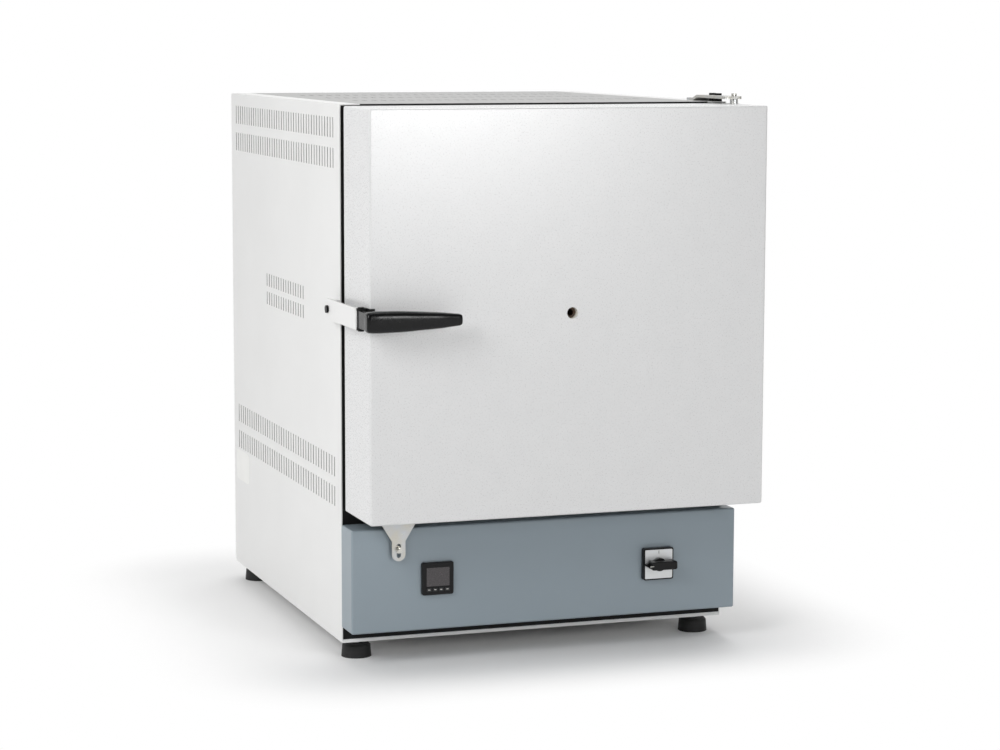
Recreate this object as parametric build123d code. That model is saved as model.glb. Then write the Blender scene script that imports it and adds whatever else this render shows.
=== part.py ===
from build123d import *
from math import cos, pi, sin
import os

# Bench muffle furnace: a vented steel casing round a fibre-lined chamber, a thick door hinged on
# the right, a pull latch on the left and a control box below the door.
# Modelling frame, in millimetres: x = 0 in the middle of the casing, positive to the right seen
# from the front; y = 0 at the front edge of the casing, positive to the back; z = 0 on the floor.
# At export everything is moved so that the origin is the middle of the whole object's footprint.

# Casing sheet metal
skin = 1.5
bend = 2.0
top_flange = 30.0
rear_return = 20.0
sheet_gap = 0.2
rear_corner_radius = 12.0

# Feet and tray
foot_height = 28.0
pad_height = 20.0
pad_radius = 22.2
pad_shoulder = 3.0
pad_taper = 1.4
foot_inset_x = 31.0
foot_inset_y = 32.5
stud_radius = 5.0
foot_nut_radius = 8.0
foot_nut_height = 6.0
stud_above_tray = 14.0
tray_front_lip = 5.0
tray_side_lip = 25.0

# Vents in the side panels
vent_width = 3.0
vent_height = 29.0
vent_pitch = 14.55
vent_margin = 33.0
vent_row_pitch = 43.7
vent_top_drop = 56.0
vent_bottom_rise = 233.3
short_vent_height = 20.0
short_vent_row_pitch = 29.0
short_vent_count = 16
short_vent_forward = 11.5
short_vent_drop = 302.5

# Vents in the top cover and the rear panel
top_vent_margin = 44.0
top_vent_rows = 3
top_vent_row_pitch = 150.0
rear_vent_count = 16
rear_vent_drop = 60.0
rear_vent_rise = 120.0

# Front frame and divider
frame_sheet = 2.0
frame_flange = 15.0
control_window_margin = 25.0
divider_below_door = 20.0

# Chamber and insulation; the casing takes its size from the chamber and the walls round it
chamber_width = 300.0
chamber_height = 250.0
chamber_depth = 440.0
side_wall = 150.0
rear_wall = 210.0
door_overlap = 166.0
board = 50.0
rear_backup = 108.0
jacket_gap = 25.0
inner_sheet = 1.5
mouth_clearance = 0.3

# Heating coils in grooves of the side boards
coil_radius = 5.0
coil_rows = 6
coil_pitch = 38.0
groove_height = 13.0
groove_depth = 14.0
coil_seat = 0.3
coil_front_margin = 35.0
coil_rear_margin = 20.0
coil_tail_reach = 12.0
tail_clearance = 0.3

# Hearth plate, thermocouple and exhaust
hearth_side_gap = 10.0
hearth_front_gap = 45.0
hearth_rear_gap = 15.0
hearth_thickness = 10.0
sheath_radius = 4.0
sheath_reach = 45.0
sheath_roof_gap = 15.0
sheath_head_radius = 12.0
sheath_head_length = 20.0
exhaust_x = -90.0
exhaust_roof_gap = 42.0
exhaust_bore = 10.0
exhaust_wall = 5.0
spigot_wall = 5.0
spigot_length = 22.0
spigot_flange_radius = 32.0
spigot_flange_thickness = 3.0

# Door
door_gap = 22.0
door_thickness = 126.0
door_bottom = 226.0
door_top_drop = 2.0
door_edge_radius = 3.0
peephole_radius = 8.2
tube_radius = 8.0
tube_bore = 5.0
tube_setback = 10.0
plug_base_border = 40.0
plug_base_gap = 1.0
plug_mouth_gap = 4.0
plug_taper = 6.0
plug_length = 30.0
seal_width = 18.0
seal_gap = 0.4

# Door hinges
pivot_inset_x = 10.0
pivot_inset_y = 28.0
pin_radius = 4.0
running_gap = 0.05
press_gap = 0.05
pin_length = 33.0
pin_cap = 4.0
hinge_plate = 4.0
hinge_rise = 5.0
hinge_width = 28.0
hinge_reach = 9.0
hinge_tail = 88.0
hinge_corner = 5.0
hinge_ramp = (46.0, 62.0)
hinge_sleeve_radius = 6.0
hinge_collar_radius = 6.0
hinge_block_width = 36.0
hinge_block_depth = 36.0
hinge_block_height = 24.0
lower_plate_drop = 9.0
lower_plate = 5.0
lower_flange_height = 45.0
hinge_screw_radius = 3.0
hinge_head_radius = 5.5
hinge_head_height = 3.0
hinge_screw_setbacks = (8.0, 28.0, 76.0)
lower_screw_rises = (16.0, 34.0)

# Latch: keeper on the casing, lever and bracket on the door
latch_height = 30.0
keeper_standoff = 13.0
keeper_sheet = 3.0
keeper_reach = 124.0
keeper_rear = 20.0
keeper_nose_radius = 4.0
keeper_screw_radius = 3.0
keeper_head_radius = 5.5
keeper_head_height = 3.5
keeper_screw_setback = 9.0
lever_pivot_standoff = 9.0
lever_pivot_reach = 136.0
lever_hub_radius = 6.0
lever_height = 24.0
lever_neck = 9.2
lever_neck_standoff = 4.6
lever_tail_standoff = 3.6
lever_tail_outer = 6.2
lever_lip_outer = 7.6
lever_tail_end = 112.0
lever_lip_front = 119.4
lever_corner_radius = 9.0
latch_pin_radius = 3.0
latch_pin_head = 4.5
latch_pin_head_height = 1.5
ear_thickness = 3.0
ear_gap = 0.3
ear_radius = 6.5
angle_sheet = 2.0
angle_side_leg = 22.0
angle_front_leg = 7.0
tang_length = 68.0
tang_depth = 8.0
tang_height = 15.0
tang_gap = 0.1

# Grip on the lever
grip_standoff = 33.0
grip_root_gap = 3.0
grip_overhang = 16.0
grip_stations = (0.0, 14.0, 50.0, 110.0, 139.0)
grip_heights = (28.0, 30.5, 29.5, 22.0, 15.4)
grip_depths = (20.0, 22.0, 22.0, 18.0, 13.0)
grip_facets = 16
grip_power = 3.4

# Control box
control_bottom = 50.5
control_height = 152.0
control_projection = 52.0
control_edge_radius = 3.0
control_tab = 25.0
control_tab_height = 130.0
controller_inset = 128.5
controller_size = 48.0
controller_bezel = 6.0
controller_body = 44.6
controller_length = 90.0
cutout_gap = 0.4
bezel_corner = 3.0
window_width = 35.0
window_height = 27.5
window_rise = 2.6
window_depth = 1.0
key_width = 7.0
key_height = 5.0
key_pitch = 9.2
key_count = 4
key_drop = 16.0
key_proud = 0.8
key_depth = 4.0
key_gap = 0.3

# Rotary switch
switch_inset = 127.0
switch_size = 48.0
switch_base_depth = 8.0
switch_plate_size = 43.5
switch_plate_depth = 1.2
knob_length = 47.0
knob_arm = 12.5
knob_hub_radius = 10.0
knob_skirt = 5.0
knob_depth = 16.5
knob_tip_radius = 1.5
knob_arm_start = 17.0
knob_bevel = 1.2
knob_gap = 0.5
knob_stem_radius = 6.0
switch_body_size = 45.0
switch_body_length = 60.0

# Door tongue and limit switch
tongue_inset = 68.0
tongue_gap = 7.0
tongue_sheet = 2.0
tongue_end = 156.4
tongue_narrow = 10.1
tongue_neck = 185.5
tongue_top_half = 35.2
tongue_flange = 31.0
tongue_slot_height = 20.5
tongue_slot_width = 6.4
tongue_slot_z = 171.5
plunger_z = 173.0
plunger_radius = 4.0
plunger_proud = 4.0
plunger_length = 26.0
plunger_gap = 0.3
plunger_travel = 3.0
adjuster_radius = 3.0
adjuster_nut_radius = 5.5
adjuster_head_radius = 4.4
adjuster_nut_height = 4.0
adjuster_tail = 3.0
flange_screw_offset = 22.0
flange_screw_radius = 2.5
flange_screw_head = 4.5
flange_screw_head_height = 2.5
limit_body = 28.0

# Control compartment
heatsink_width = 100.0
heatsink_depth = 100.0
heatsink_height = 60.0
heatsink_base = 8.0
fin_count = 9
fin_thickness = 3.0
heatsink_x = 110.0
heatsink_y = 260.0
relay_width = 45.0
relay_depth = 58.0
relay_height = 28.0
terminal_width = 120.0
terminal_depth = 32.0
terminal_height = 38.0
terminal_x = -60.0
terminal_setback = 90.0
gland_x = -180.0
gland_z = 80.0
gland_radius = 14.0
gland_bore = 5.0
gland_thread_radius = 10.0
gland_length = 20.0
gland_inside = 18.0

# Places that follow from the sizes above
casing_width = chamber_width + 2 * side_wall
casing_depth = chamber_depth + rear_wall
door_height = chamber_height + 2 * door_overlap
door_top = door_bottom + door_height
body_bottom = foot_height
body_top = door_top + door_top_drop
half = casing_width / 2
inner_half = half - skin - sheet_gap
door_rear = -door_gap
door_front = -door_gap - door_thickness
middle_z = (door_bottom + door_top) / 2
divider_z = door_bottom - divider_below_door
mouth_half_x = chamber_width / 2 + board
mouth_half_z = chamber_height / 2 + board
lining_end = chamber_depth + board + rear_backup
jacket_half = half - skin - jacket_gap
jacket_top = body_top - skin - jacket_gap
control_top = control_bottom + control_height
control_middle = (control_bottom + control_top) / 2
panel_face = -control_projection
controller_x = -half + controller_inset
switch_x = half - switch_inset
tongue_x = -half + tongue_inset
pivot_x = half - pivot_inset_x
pivot_y = door_rear - pivot_inset_y
pivot_left = -half - lever_pivot_standoff
pivot_latch_y = -lever_pivot_reach
grip_y = door_front - grip_standoff
grip_root_x = -half - grip_root_gap
coil_span = (coil_rows - 1) * coil_pitch
sheath_z = middle_z + chamber_height / 2 - sheath_roof_gap
exhaust_z = middle_z + chamber_height / 2 - exhaust_roof_gap
exhaust_radius = exhaust_bore + exhaust_wall
jacket_sheet_rear = lining_end + inner_sheet

# The footprint's middle, which becomes the origin
reach_left = half + keeper_standoff + keeper_sheet + keeper_head_height
reach_right = half
reach_front = -(grip_y - max(grip_depths) / 2)
reach_rear = casing_depth + spigot_length
origin_x = (reach_right - reach_left) / 2
origin_y = (reach_rear - reach_front) / 2


def block(x0, x1, y0, y1, z0, z1):
    """Return the box between two corners."""
    size = (x1 - x0, y1 - y0, z1 - z0)
    centre = ((x0 + x1) / 2, (y0 + y1) / 2, (z0 + z1) / 2)
    return Pos(*centre) * Box(*size)


def rod(axis, x, y, z, radius, length):
    """Return a round bar that starts at a point and runs along +axis, which is X, Y or Z."""
    turns = {"X": Rot(0, 90, 0), "Y": Rot(-90, 0, 0), "Z": Rot(0, 0, 0)}
    start = Pos(x, y, z) * turns[axis]
    return start * Pos(0, 0, length / 2) * Cylinder(radius, length)


def facing(x, y, z):
    """Return a plane at a point that faces the front, with its x to the right."""
    return Plane(origin=(x, y, z), x_dir=(1, 0, 0), z_dir=(0, -1, 0))


def bent_sheet(points, thickness, inside):
    """Return the section of a sheet bent along a line, thickened towards the given side."""
    path = FilletPolyline(*points, radius=bend)
    return make_face(offset(path, amount=thickness, side=inside))


def standing(section, z0, z1):
    """Extrude a plan section from z0 up to z1."""
    return extrude(Pos(0, 0, z0) * section, amount=z1 - z0)


def running_back(section, y0, y1):
    """Extrude a section drawn in x and z from y0 back to y1."""
    return extrude(Plane.XZ.offset(-y0) * section, amount=y0 - y1)


def side_slots(y, z, count, rows, row_pitch, height):
    """Return cutters for rows of upright slots in a side panel, centred on y and z."""
    places = GridLocations(vent_pitch, row_pitch, count, rows)
    slots = Sketch() + [place * Rectangle(vent_width, height) for place in places]
    return Pos(-half + skin / 2, y, z) * extrude(Plane.YZ * slots, amount=skin, both=True)


def make_side_panel():
    """Left side: one sheet with a top flange and a rear return, cut with four rows of vents."""
    corners = [(-half + top_flange, body_top), (-half, body_top), (-half, body_bottom)]
    wall = running_back(bent_sheet(corners, skin, Side.LEFT), 0, casing_depth)
    turned = [(-half, 0), (-half, casing_depth), (-half + rear_return, casing_depth)]
    panel = wall + standing(bent_sheet(turned, skin, Side.RIGHT), body_bottom, body_top)
    corner = block(-half - skin, half, casing_depth - rear_corner_radius, casing_depth + skin,
                   body_bottom - skin, body_bottom + rear_corner_radius)
    round_end = rod("X", -half - skin, casing_depth - rear_corner_radius,
                    body_bottom + rear_corner_radius, rear_corner_radius, casing_width)
    panel -= corner - round_end
    middle = (casing_depth + skin) / 2
    count = int((casing_depth - 2 * vent_margin) / vent_pitch) + 1
    for z in (body_top - vent_top_drop, body_bottom + vent_bottom_rise):
        panel -= side_slots(middle, z, count, 2, vent_row_pitch, vent_height)
    panel -= side_slots(casing_depth / 2 - short_vent_forward, body_top - short_vent_drop,
                        short_vent_count, 2, short_vent_row_pitch, short_vent_height)
    return panel


def make_left_panel():
    """Left side panel with the bolt hole of the keeper."""
    hole = rod("X", -half - skin, keeper_screw_setback, middle_z,
               keeper_screw_radius + press_gap, 3 * skin)
    return make_side_panel() - hole


def make_right_panel():
    """Right side panel: the left one mirrored, with the screw holes of the top hinge."""
    panel = mirror(make_side_panel(), Plane.YZ)
    for setback in hinge_screw_setbacks:
        panel -= rod("Z", pivot_x, setback, body_top - 2 * skin,
                     hinge_screw_radius + press_gap, 3 * skin)
    return panel


def make_top_cover():
    """Flat vented cover between the top flanges of the side panels."""
    reach = half - top_flange - 2 * sheet_gap
    rear = casing_depth - 2 * skin - 2 * sheet_gap
    cover = block(-reach, reach, frame_sheet + sheet_gap, rear, body_top - skin, body_top)
    apron = block(-reach, reach, rear - skin, rear, body_top - rear_return, body_top)
    count = int(2 * (reach - top_vent_margin) / vent_pitch) + 1
    places = GridLocations(vent_pitch, top_vent_row_pitch, count, top_vent_rows)
    slots = Sketch() + [place * Rectangle(vent_width, vent_height) for place in places]
    cutter = extrude(slots, amount=skin, both=True)
    return cover + apron - Pos(0, casing_depth / 2, body_top - skin / 2) * cutter


def make_base_tray():
    """Floor tray with turned-up sides and a low front lip that shows below the control box."""
    corners = [(-inner_half, body_bottom + tray_side_lip), (-inner_half, body_bottom),
               (inner_half, body_bottom), (inner_half, body_bottom + tray_side_lip)]
    rear = casing_depth - 2 * skin - 2 * sheet_gap
    front = frame_sheet + sheet_gap
    tray = running_back(bent_sheet(corners, skin, Side.LEFT), front, rear)
    tray += block(-inner_half, inner_half, -skin, front, body_bottom, body_bottom + skin)
    tray += block(-inner_half, inner_half, -skin, 0, body_bottom, body_bottom + tray_front_lip)
    tray += block(-inner_half + bend, inner_half - bend, rear - skin, rear, body_bottom,
                  body_bottom + tray_side_lip)
    for x, y in foot_places():
        tray -= rod("Z", x, y, body_bottom - skin, stud_radius + press_gap, 3 * skin)
    return tray


def foot_places():
    """Return the plan positions of the four feet."""
    return [(x, y) for x in (-half + foot_inset_x, half - foot_inset_x)
            for y in (foot_inset_y, casing_depth - foot_inset_y)]


def make_feet_pads():
    """Four moulded pads, slightly tapered, with a bevelled shoulder and a socket for the stud."""
    top_radius = pad_radius - pad_taper
    profile = Polyline((0, 0), (pad_radius, 0), (top_radius, pad_height - pad_shoulder),
                       (top_radius - pad_shoulder, pad_height), (0, pad_height), close=True)
    pad = revolve(make_face(Plane.XZ * profile), Axis.Z)
    pad -= rod("Z", 0, 0, pad_height / 2, stud_radius + press_gap, pad_height)
    return Compound(children=[Pos(x, y, 0) * pad for x, y in foot_places()])


def make_feet_studs():
    """Four threaded studs with a nut above the tray and one below it."""
    studs = []
    top = body_bottom + skin
    for x, y in foot_places():
        stud = rod("Z", x, y, pad_height / 2, stud_radius, top + stud_above_tray - pad_height / 2)
        nut = extrude(RegularPolygon(foot_nut_radius, 6), amount=foot_nut_height)
        low_z = body_bottom - foot_nut_height
        studs.append(stud + Pos(x, y, top) * nut + Pos(x, y, low_z) * nut)
    return Compound(children=studs)


def make_rear_panel():
    """Rear sheet inside the returns of the side panels, with vents, gland and exhaust holes."""
    rear = casing_depth - skin - sheet_gap
    panel = block(-inner_half, inner_half, rear - skin, rear, body_bottom + skin + sheet_gap,
                  body_top - skin - sheet_gap)
    places = GridLocations(vent_pitch, vent_height, rear_vent_count, 1)
    slots = Sketch() + [place * Rectangle(vent_width, vent_height) for place in places]
    cutter = extrude(Plane.XZ * slots, amount=2 * skin, both=True)
    for z in (body_top - rear_vent_drop, body_bottom + rear_vent_rise):
        panel -= Pos(0, rear, z) * cutter
    panel -= rod("Y", gland_x, rear - 2 * skin, gland_z, gland_thread_radius + press_gap, 4 * skin)
    return panel - rod("Y", exhaust_x, rear - 2 * skin, exhaust_z, exhaust_radius + tail_clearance,
                       4 * skin)


def make_front_frame():
    """Dark front frame: one plate with the chamber mouth and the control window, flanged back."""
    low = body_bottom + tray_front_lip
    high = body_top - skin - sheet_gap
    frame = block(-inner_half, inner_half, 0, frame_sheet, low, high)
    tab = half - top_flange - 2 * sheet_gap
    frame += block(-tab, tab, 0, frame_sheet, high - skin, body_top)
    frame += block(-tab, tab, 0, frame_flange, high - frame_sheet, high)
    for x0 in (-inner_half, inner_half - frame_sheet):
        frame += block(x0, x0 + frame_sheet, 0, frame_flange, low + tray_side_lip, high - skin)
    frame -= block(-mouth_half_x - mouth_clearance, mouth_half_x + mouth_clearance, -skin,
                   2 * frame_sheet, middle_z - mouth_half_z - mouth_clearance,
                   middle_z + mouth_half_z + mouth_clearance)
    window = inner_half - control_window_margin
    frame -= block(-window, window, -skin, 2 * frame_sheet, control_bottom + skin,
                   control_top - skin)
    for x0 in (-inner_half, inner_half - frame_sheet):
        frame -= block(x0 - skin, x0 + frame_sheet + skin, -skin, control_tab + skin,
                       control_middle - control_tab_height / 2 - skin,
                       control_middle + control_tab_height / 2 + skin)
    frame -= rod("X", -half, keeper_screw_setback, middle_z, keeper_head_radius + skin, 6 * skin)
    for setback in hinge_screw_setbacks:
        frame -= rod("Z", pivot_x, setback, high - 2 * frame_sheet,
                     hinge_screw_radius + tail_clearance, 4 * frame_sheet)
    for rise in lower_screw_rises:
        frame -= rod("Y", pivot_x, -skin, lower_plate_bottom() + rise,
                     hinge_screw_radius + press_gap, 2 * frame_sheet)
    return frame


def make_divider_plate():
    """Plate between the lined chamber above and the control compartment below."""
    front = frame_sheet + sheet_gap
    rear = casing_depth - 2 * skin - 2 * sheet_gap
    reach = inner_half - frame_sheet - sheet_gap
    corners = [(-reach, divider_z - rear_return), (-reach, divider_z), (reach, divider_z),
               (reach, divider_z - rear_return)]
    return running_back(bent_sheet(corners, skin, Side.RIGHT), front, rear)


def lining_holes(y0, y1, clearance):
    """Return cutters for the coil tails, the thermocouple and the exhaust between y0 and y1."""
    cutters = rod("Y", 0, y0, sheath_z, sheath_radius + clearance, y1 - y0)
    cutters += rod("Y", exhaust_x, y0, exhaust_z, exhaust_radius + clearance, y1 - y0)
    for side in (-1, 1):
        for z in (coil_z(0), coil_z(coil_rows - 1)):
            cutters += rod("Y", side * coil_x(), y0, z, coil_radius + clearance, y1 - y0)
    return cutters


def make_inner_casing():
    """Inner casing round the insulation: two sides and a top bent from one sheet, and a back."""
    corners = [(-jacket_half, divider_z), (-jacket_half, jacket_top), (jacket_half, jacket_top),
               (jacket_half, divider_z)]
    front = frame_sheet + sheet_gap
    shell = running_back(bent_sheet(corners, inner_sheet, Side.RIGHT), front, lining_end)
    back = block(-jacket_half, jacket_half, lining_end, jacket_sheet_rear, divider_z, jacket_top)
    return shell + back - lining_holes(lining_end - skin, lining_end + 2 * skin, tail_clearance)


def make_backup_blanket():
    """Fibre blanket wrapped round the hot-face boards inside the inner casing."""
    reach = jacket_half - inner_sheet - sheet_gap
    outer = block(-reach, reach, frame_sheet + sheet_gap, chamber_depth + board, divider_z,
                  jacket_top - inner_sheet - sheet_gap)
    core = block(-mouth_half_x, mouth_half_x, 0, chamber_depth + 2 * board,
                 middle_z - mouth_half_z, middle_z + mouth_half_z)
    return outer - core


def make_backup_rear():
    """Fibre block behind the back board."""
    y0 = chamber_depth + board
    reach = jacket_half - inner_sheet - sheet_gap
    slab = block(-reach, reach, y0, lining_end, divider_z, jacket_top - inner_sheet - sheet_gap)
    return slab - lining_holes(y0 - skin, lining_end + skin, tail_clearance)


def make_flat_board(side):
    """Hot-face board of the chamber's floor (side -1) or roof (side 1)."""
    z0 = middle_z + side * (chamber_height + board) / 2 - board / 2
    return block(-mouth_half_x, mouth_half_x, 0, chamber_depth, z0, z0 + board)


def coil_z(row):
    """Return the height of a coil row, resting just above the bottom of its groove."""
    row_z = middle_z - coil_span / 2 + row * coil_pitch
    return row_z - groove_height / 2 + coil_radius + coil_seat


def coil_x():
    """Return the distance of the coils' axes from the middle of the chamber."""
    return chamber_width / 2 + groove_depth / 2


def make_side_board():
    """Left hot-face board with one long groove that winds through six rows."""
    x0 = -chamber_width / 2 - board
    low = middle_z - chamber_height / 2
    side = block(x0, x0 + board, 0, chamber_depth, low, low + chamber_height)
    y0 = coil_front_margin
    y1 = chamber_depth - coil_rear_margin
    for row in range(coil_rows):
        z = middle_z - coil_span / 2 + row * coil_pitch
        side -= block(-chamber_width / 2 - groove_depth, x0 + 2 * board, y0, y1,
                      z - groove_height / 2, z + groove_height / 2)
        if row < coil_rows - 1:
            turn = y1 - groove_height if row % 2 else y0
            side -= block(-chamber_width / 2 - groove_depth, x0 + 2 * board, turn,
                          turn + groove_height, z, z + coil_pitch)
    for z in (coil_z(0), coil_z(coil_rows - 1)):
        side -= rod("Y", -coil_x(), y1 - skin, z, coil_radius + tail_clearance, board)
    return side


def make_heater():
    """Left heating coil as a round bar: six rows joined at alternate ends, and two tails."""
    front = coil_front_margin + groove_height / 2
    rear = chamber_depth - coil_rear_margin - groove_height / 2
    tail = jacket_sheet_rear + coil_tail_reach
    points = [(-coil_x(), tail, coil_z(0))]
    for row in range(coil_rows):
        ends = (front, rear) if row % 2 else (rear, front)
        points += [(-coil_x(), y, coil_z(row)) for y in ends]
    points = [points[0]] + points[2:-1] + [(-coil_x(), tail, coil_z(coil_rows - 1))]
    path = Polyline(*points)
    section = Plane(origin=points[0], z_dir=(0, -1, 0)) * Circle(coil_radius)
    return sweep(section, path=path, transition=Transition.RIGHT)


def make_back_board():
    """Back board of the chamber with holes for the tails, thermocouple and exhaust."""
    y0 = chamber_depth
    panel = block(-mouth_half_x, mouth_half_x, y0, y0 + board, middle_z - mouth_half_z,
                  middle_z + mouth_half_z)
    return panel - lining_holes(y0 - skin, y0 + board + skin, tail_clearance)


def make_hearth_plate():
    """Ceramic plate that lies on the chamber floor and carries the load."""
    reach = chamber_width / 2 - hearth_side_gap
    z0 = middle_z - chamber_height / 2
    plate = block(-reach, reach, hearth_front_gap, chamber_depth - hearth_rear_gap, z0,
                  z0 + hearth_thickness)
    return fillet(plate.edges().filter_by(Axis.Z), hearth_thickness / 2)


def make_thermocouple():
    """Ceramic sheath through the back wall with its connection head."""
    y0 = chamber_depth - sheath_reach
    sheath = rod("Y", 0, y0, sheath_z, sheath_radius, jacket_sheet_rear - y0)
    return sheath + rod("Y", 0, jacket_sheet_rear, sheath_z, sheath_head_radius,
                        sheath_head_length)


def make_exhaust_tube():
    """Ceramic tube from the chamber's back wall to the rear panel."""
    length = casing_depth - skin - sheet_gap - chamber_depth
    tube = rod("Y", exhaust_x, chamber_depth, exhaust_z, exhaust_radius, length)
    return tube - rod("Y", exhaust_x, 0, exhaust_z, exhaust_bore, casing_depth)


def make_exhaust_spigot():
    """Steel spigot on the rear panel, open to the exhaust tube."""
    rear = casing_depth - skin - sheet_gap
    radius = exhaust_bore + spigot_wall + exhaust_wall
    spigot = rod("Y", exhaust_x, rear, exhaust_z, radius, reach_rear - rear)
    spigot += rod("Y", exhaust_x, rear, exhaust_z, spigot_flange_radius, spigot_flange_thickness)
    return spigot - rod("Y", exhaust_x, chamber_depth, exhaust_z, exhaust_bore, casing_depth)


def open_pan(x0, x1, y0, y1, z0, z1, sheet, radius):
    """Return a pan bent from sheet: a front face and four walls, open towards +y."""
    pan = block(x0, x1, y0, y1, z0, z1)
    front = pan.faces().sort_by(Axis.Y)[0]
    pan = fillet(front.edges() + pan.edges().filter_by(Axis.Y), radius)
    return pan - block(x0 + sheet, x1 - sheet, y0 + sheet, y1 + sheet, z0 + sheet, z1 - sheet)


def make_door_shell():
    """Door pan with the peephole and a clearance hole for each hinge collar."""
    shell = open_pan(-half, half, door_front, door_rear, door_bottom, door_top, skin,
                     door_edge_radius)
    shell -= rod("Y", 0, door_front - skin, middle_z, peephole_radius, 3 * skin)
    for z in (door_bottom - skin, door_top - 2 * skin):
        shell -= rod("Z", pivot_x, pivot_y, z, hinge_collar_radius + tail_clearance, 3 * skin)
    for x in flange_screw_places():
        shell -= rod("Z", x, flange_screw_y(), door_bottom - skin, flange_screw_radius + press_gap,
                     3 * skin)
    return shell


def make_door_back_plate():
    """Plate that closes the back of the door round the plug."""
    reach = inner_half
    plate = block(-reach, reach, door_rear - skin, door_rear, door_bottom + skin + sheet_gap,
                  door_top - skin - sheet_gap)
    return plate - block(-plug_base_x(), plug_base_x(), door_rear - 2 * skin, 0,
                         middle_z - plug_base_z(), middle_z + plug_base_z())


def plug_base_x():
    """Return half the width of the plug's broad base."""
    return chamber_width / 2 + plug_base_border


def plug_base_z():
    """Return half the height of the plug's broad base."""
    return chamber_height / 2 + plug_base_border


def make_door_plug():
    """Stepped fibre plug: a broad base and a tapered part that enters the chamber mouth."""
    step = -plug_base_gap
    base = block(-plug_base_x(), plug_base_x(), door_rear - skin, step, middle_z - plug_base_z(),
                 middle_z + plug_base_z())
    wide = (chamber_width - 2 * plug_mouth_gap, chamber_height - 2 * plug_mouth_gap)
    narrow = (wide[0] - 2 * plug_taper, wide[1] - 2 * plug_taper)
    sections = [facing(0, step, middle_z) * Rectangle(*wide),
                facing(0, plug_length, middle_z) * Rectangle(*narrow)]
    plug = base + loft(sections)
    return plug - rod("Y", 0, door_front, middle_z, tube_radius + sheet_gap, casing_depth)


def make_door_seal():
    """Square fibre rope laid round the plug's base, pressed by the front frame."""
    reach_x = plug_base_x() + sheet_gap
    reach_z = plug_base_z() + sheet_gap
    y1 = -seal_gap
    ring = block(-reach_x - seal_width, reach_x + seal_width, door_rear, y1,
                 middle_z - reach_z - seal_width, middle_z + reach_z + seal_width)
    ring = fillet(ring.edges().filter_by(Axis.Y), seal_width)
    return ring - block(-reach_x, reach_x, door_front, casing_depth, middle_z - reach_z,
                        middle_z + reach_z)


def make_door_insulation():
    """Fibre filling of the door with a bore for the tube and recesses for the hinge blocks."""
    gap = skin + sheet_gap
    fill = block(-half + gap, half - gap, door_front + gap, door_rear - gap, door_bottom + gap,
                 door_top - gap)
    fill -= rod("Y", 0, door_front, middle_z, tube_radius + sheet_gap, door_thickness)
    x0 = half - gap - hinge_block_width - sheet_gap
    y0 = door_rear - gap - hinge_block_depth - sheet_gap
    deep = gap + hinge_block_height + sheet_gap
    for z0, z1 in ((door_bottom, door_bottom + deep), (door_top - deep, door_top)):
        fill -= block(x0, half, y0, door_rear, z0, z1)
    return fill


def make_peep_tube():
    """Heat-resisting steel tube through the door for looking in and for air."""
    y0 = door_front + tube_setback
    tube = rod("Y", 0, y0, middle_z, tube_radius, plug_length - y0)
    return tube - rod("Y", 0, y0 - skin, middle_z, tube_bore, casing_depth)


def make_door_hinge_blocks():
    """Steel blocks in the door's corners, each with a collar and a bore for its hinge pin."""
    gap = skin + sheet_gap
    x1 = half - gap
    y1 = door_rear - gap
    lower_face = lower_plate_bottom() + lower_plate + ear_gap
    upper_face = upper_plate_bottom() - ear_gap
    blocks = []
    for z0, collar_low, collar_high in (
        (door_bottom + gap, lower_face, door_bottom + 2 * gap),
        (door_top - gap - hinge_block_height, door_top - 2 * gap, upper_face),
    ):
        body = block(x1 - hinge_block_width, x1, y1 - hinge_block_depth, y1, z0,
                     z0 + hinge_block_height)
        body += rod("Z", pivot_x, pivot_y, collar_low, hinge_collar_radius,
                    collar_high - collar_low)
        blocks.append(body - rod("Z", pivot_x, pivot_y, 0, pin_radius + running_gap,
                                 body_top + pin_length))
    return Compound(children=blocks)


def lower_plate_bottom():
    """Return the height of the underside of the lower hinge plate."""
    return door_bottom - lower_plate_drop - lower_plate


def upper_plate_bottom():
    """Return the height of the underside of the upper hinge plate."""
    return body_top + hinge_rise


def make_top_hinge_bracket():
    """Strip that lies on the casing top, steps up and reaches over the door to the upper pin."""
    x0 = pivot_x + pivot_inset_x - hinge_width - sheet_gap
    z0 = upper_plate_bottom()
    corners = [(hinge_tail, body_top), (hinge_ramp[1], body_top), (hinge_ramp[0], z0),
               (pivot_y - hinge_reach, z0)]
    side_view = bent_sheet(corners, hinge_plate, Side.RIGHT)
    bracket = extrude(Plane.YZ.offset(x0) * side_view, amount=hinge_width)
    bracket = fillet(bracket.edges().filter_by(Axis.Z), hinge_corner)
    bracket -= rod("Z", pivot_x, pivot_y, body_top, pin_radius + press_gap, 4 * hinge_plate)
    for setback in hinge_screw_setbacks:
        bracket -= rod("Z", pivot_x, setback, body_top - skin, hinge_screw_radius + press_gap,
                       6 * hinge_plate)
    return bracket


def make_bottom_hinge_bracket():
    """Angle on the front frame that carries the lower pin and the weight of the door."""
    x0 = pivot_x + pivot_inset_x - hinge_block_width - sheet_gap
    x1 = x0 + hinge_block_width
    z0 = lower_plate_bottom()
    plate = block(x0, x1, pivot_y - hinge_reach, 0, z0, z0 + lower_plate)
    front = plate.edges().filter_by(Axis.Z).sort_by(Axis.Y)[:2]
    plate = fillet(front, hinge_corner)
    plate += block(x0, x1, -lower_plate, 0, z0, z0 + lower_flange_height)
    plate -= rod("Z", pivot_x, pivot_y, z0 - skin, pin_radius + press_gap, 2 * lower_plate)
    for rise in lower_screw_rises:
        plate -= rod("Y", pivot_x, -2 * lower_plate, z0 + rise, hinge_screw_radius + press_gap,
                     3 * lower_plate)
    return plate


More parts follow.
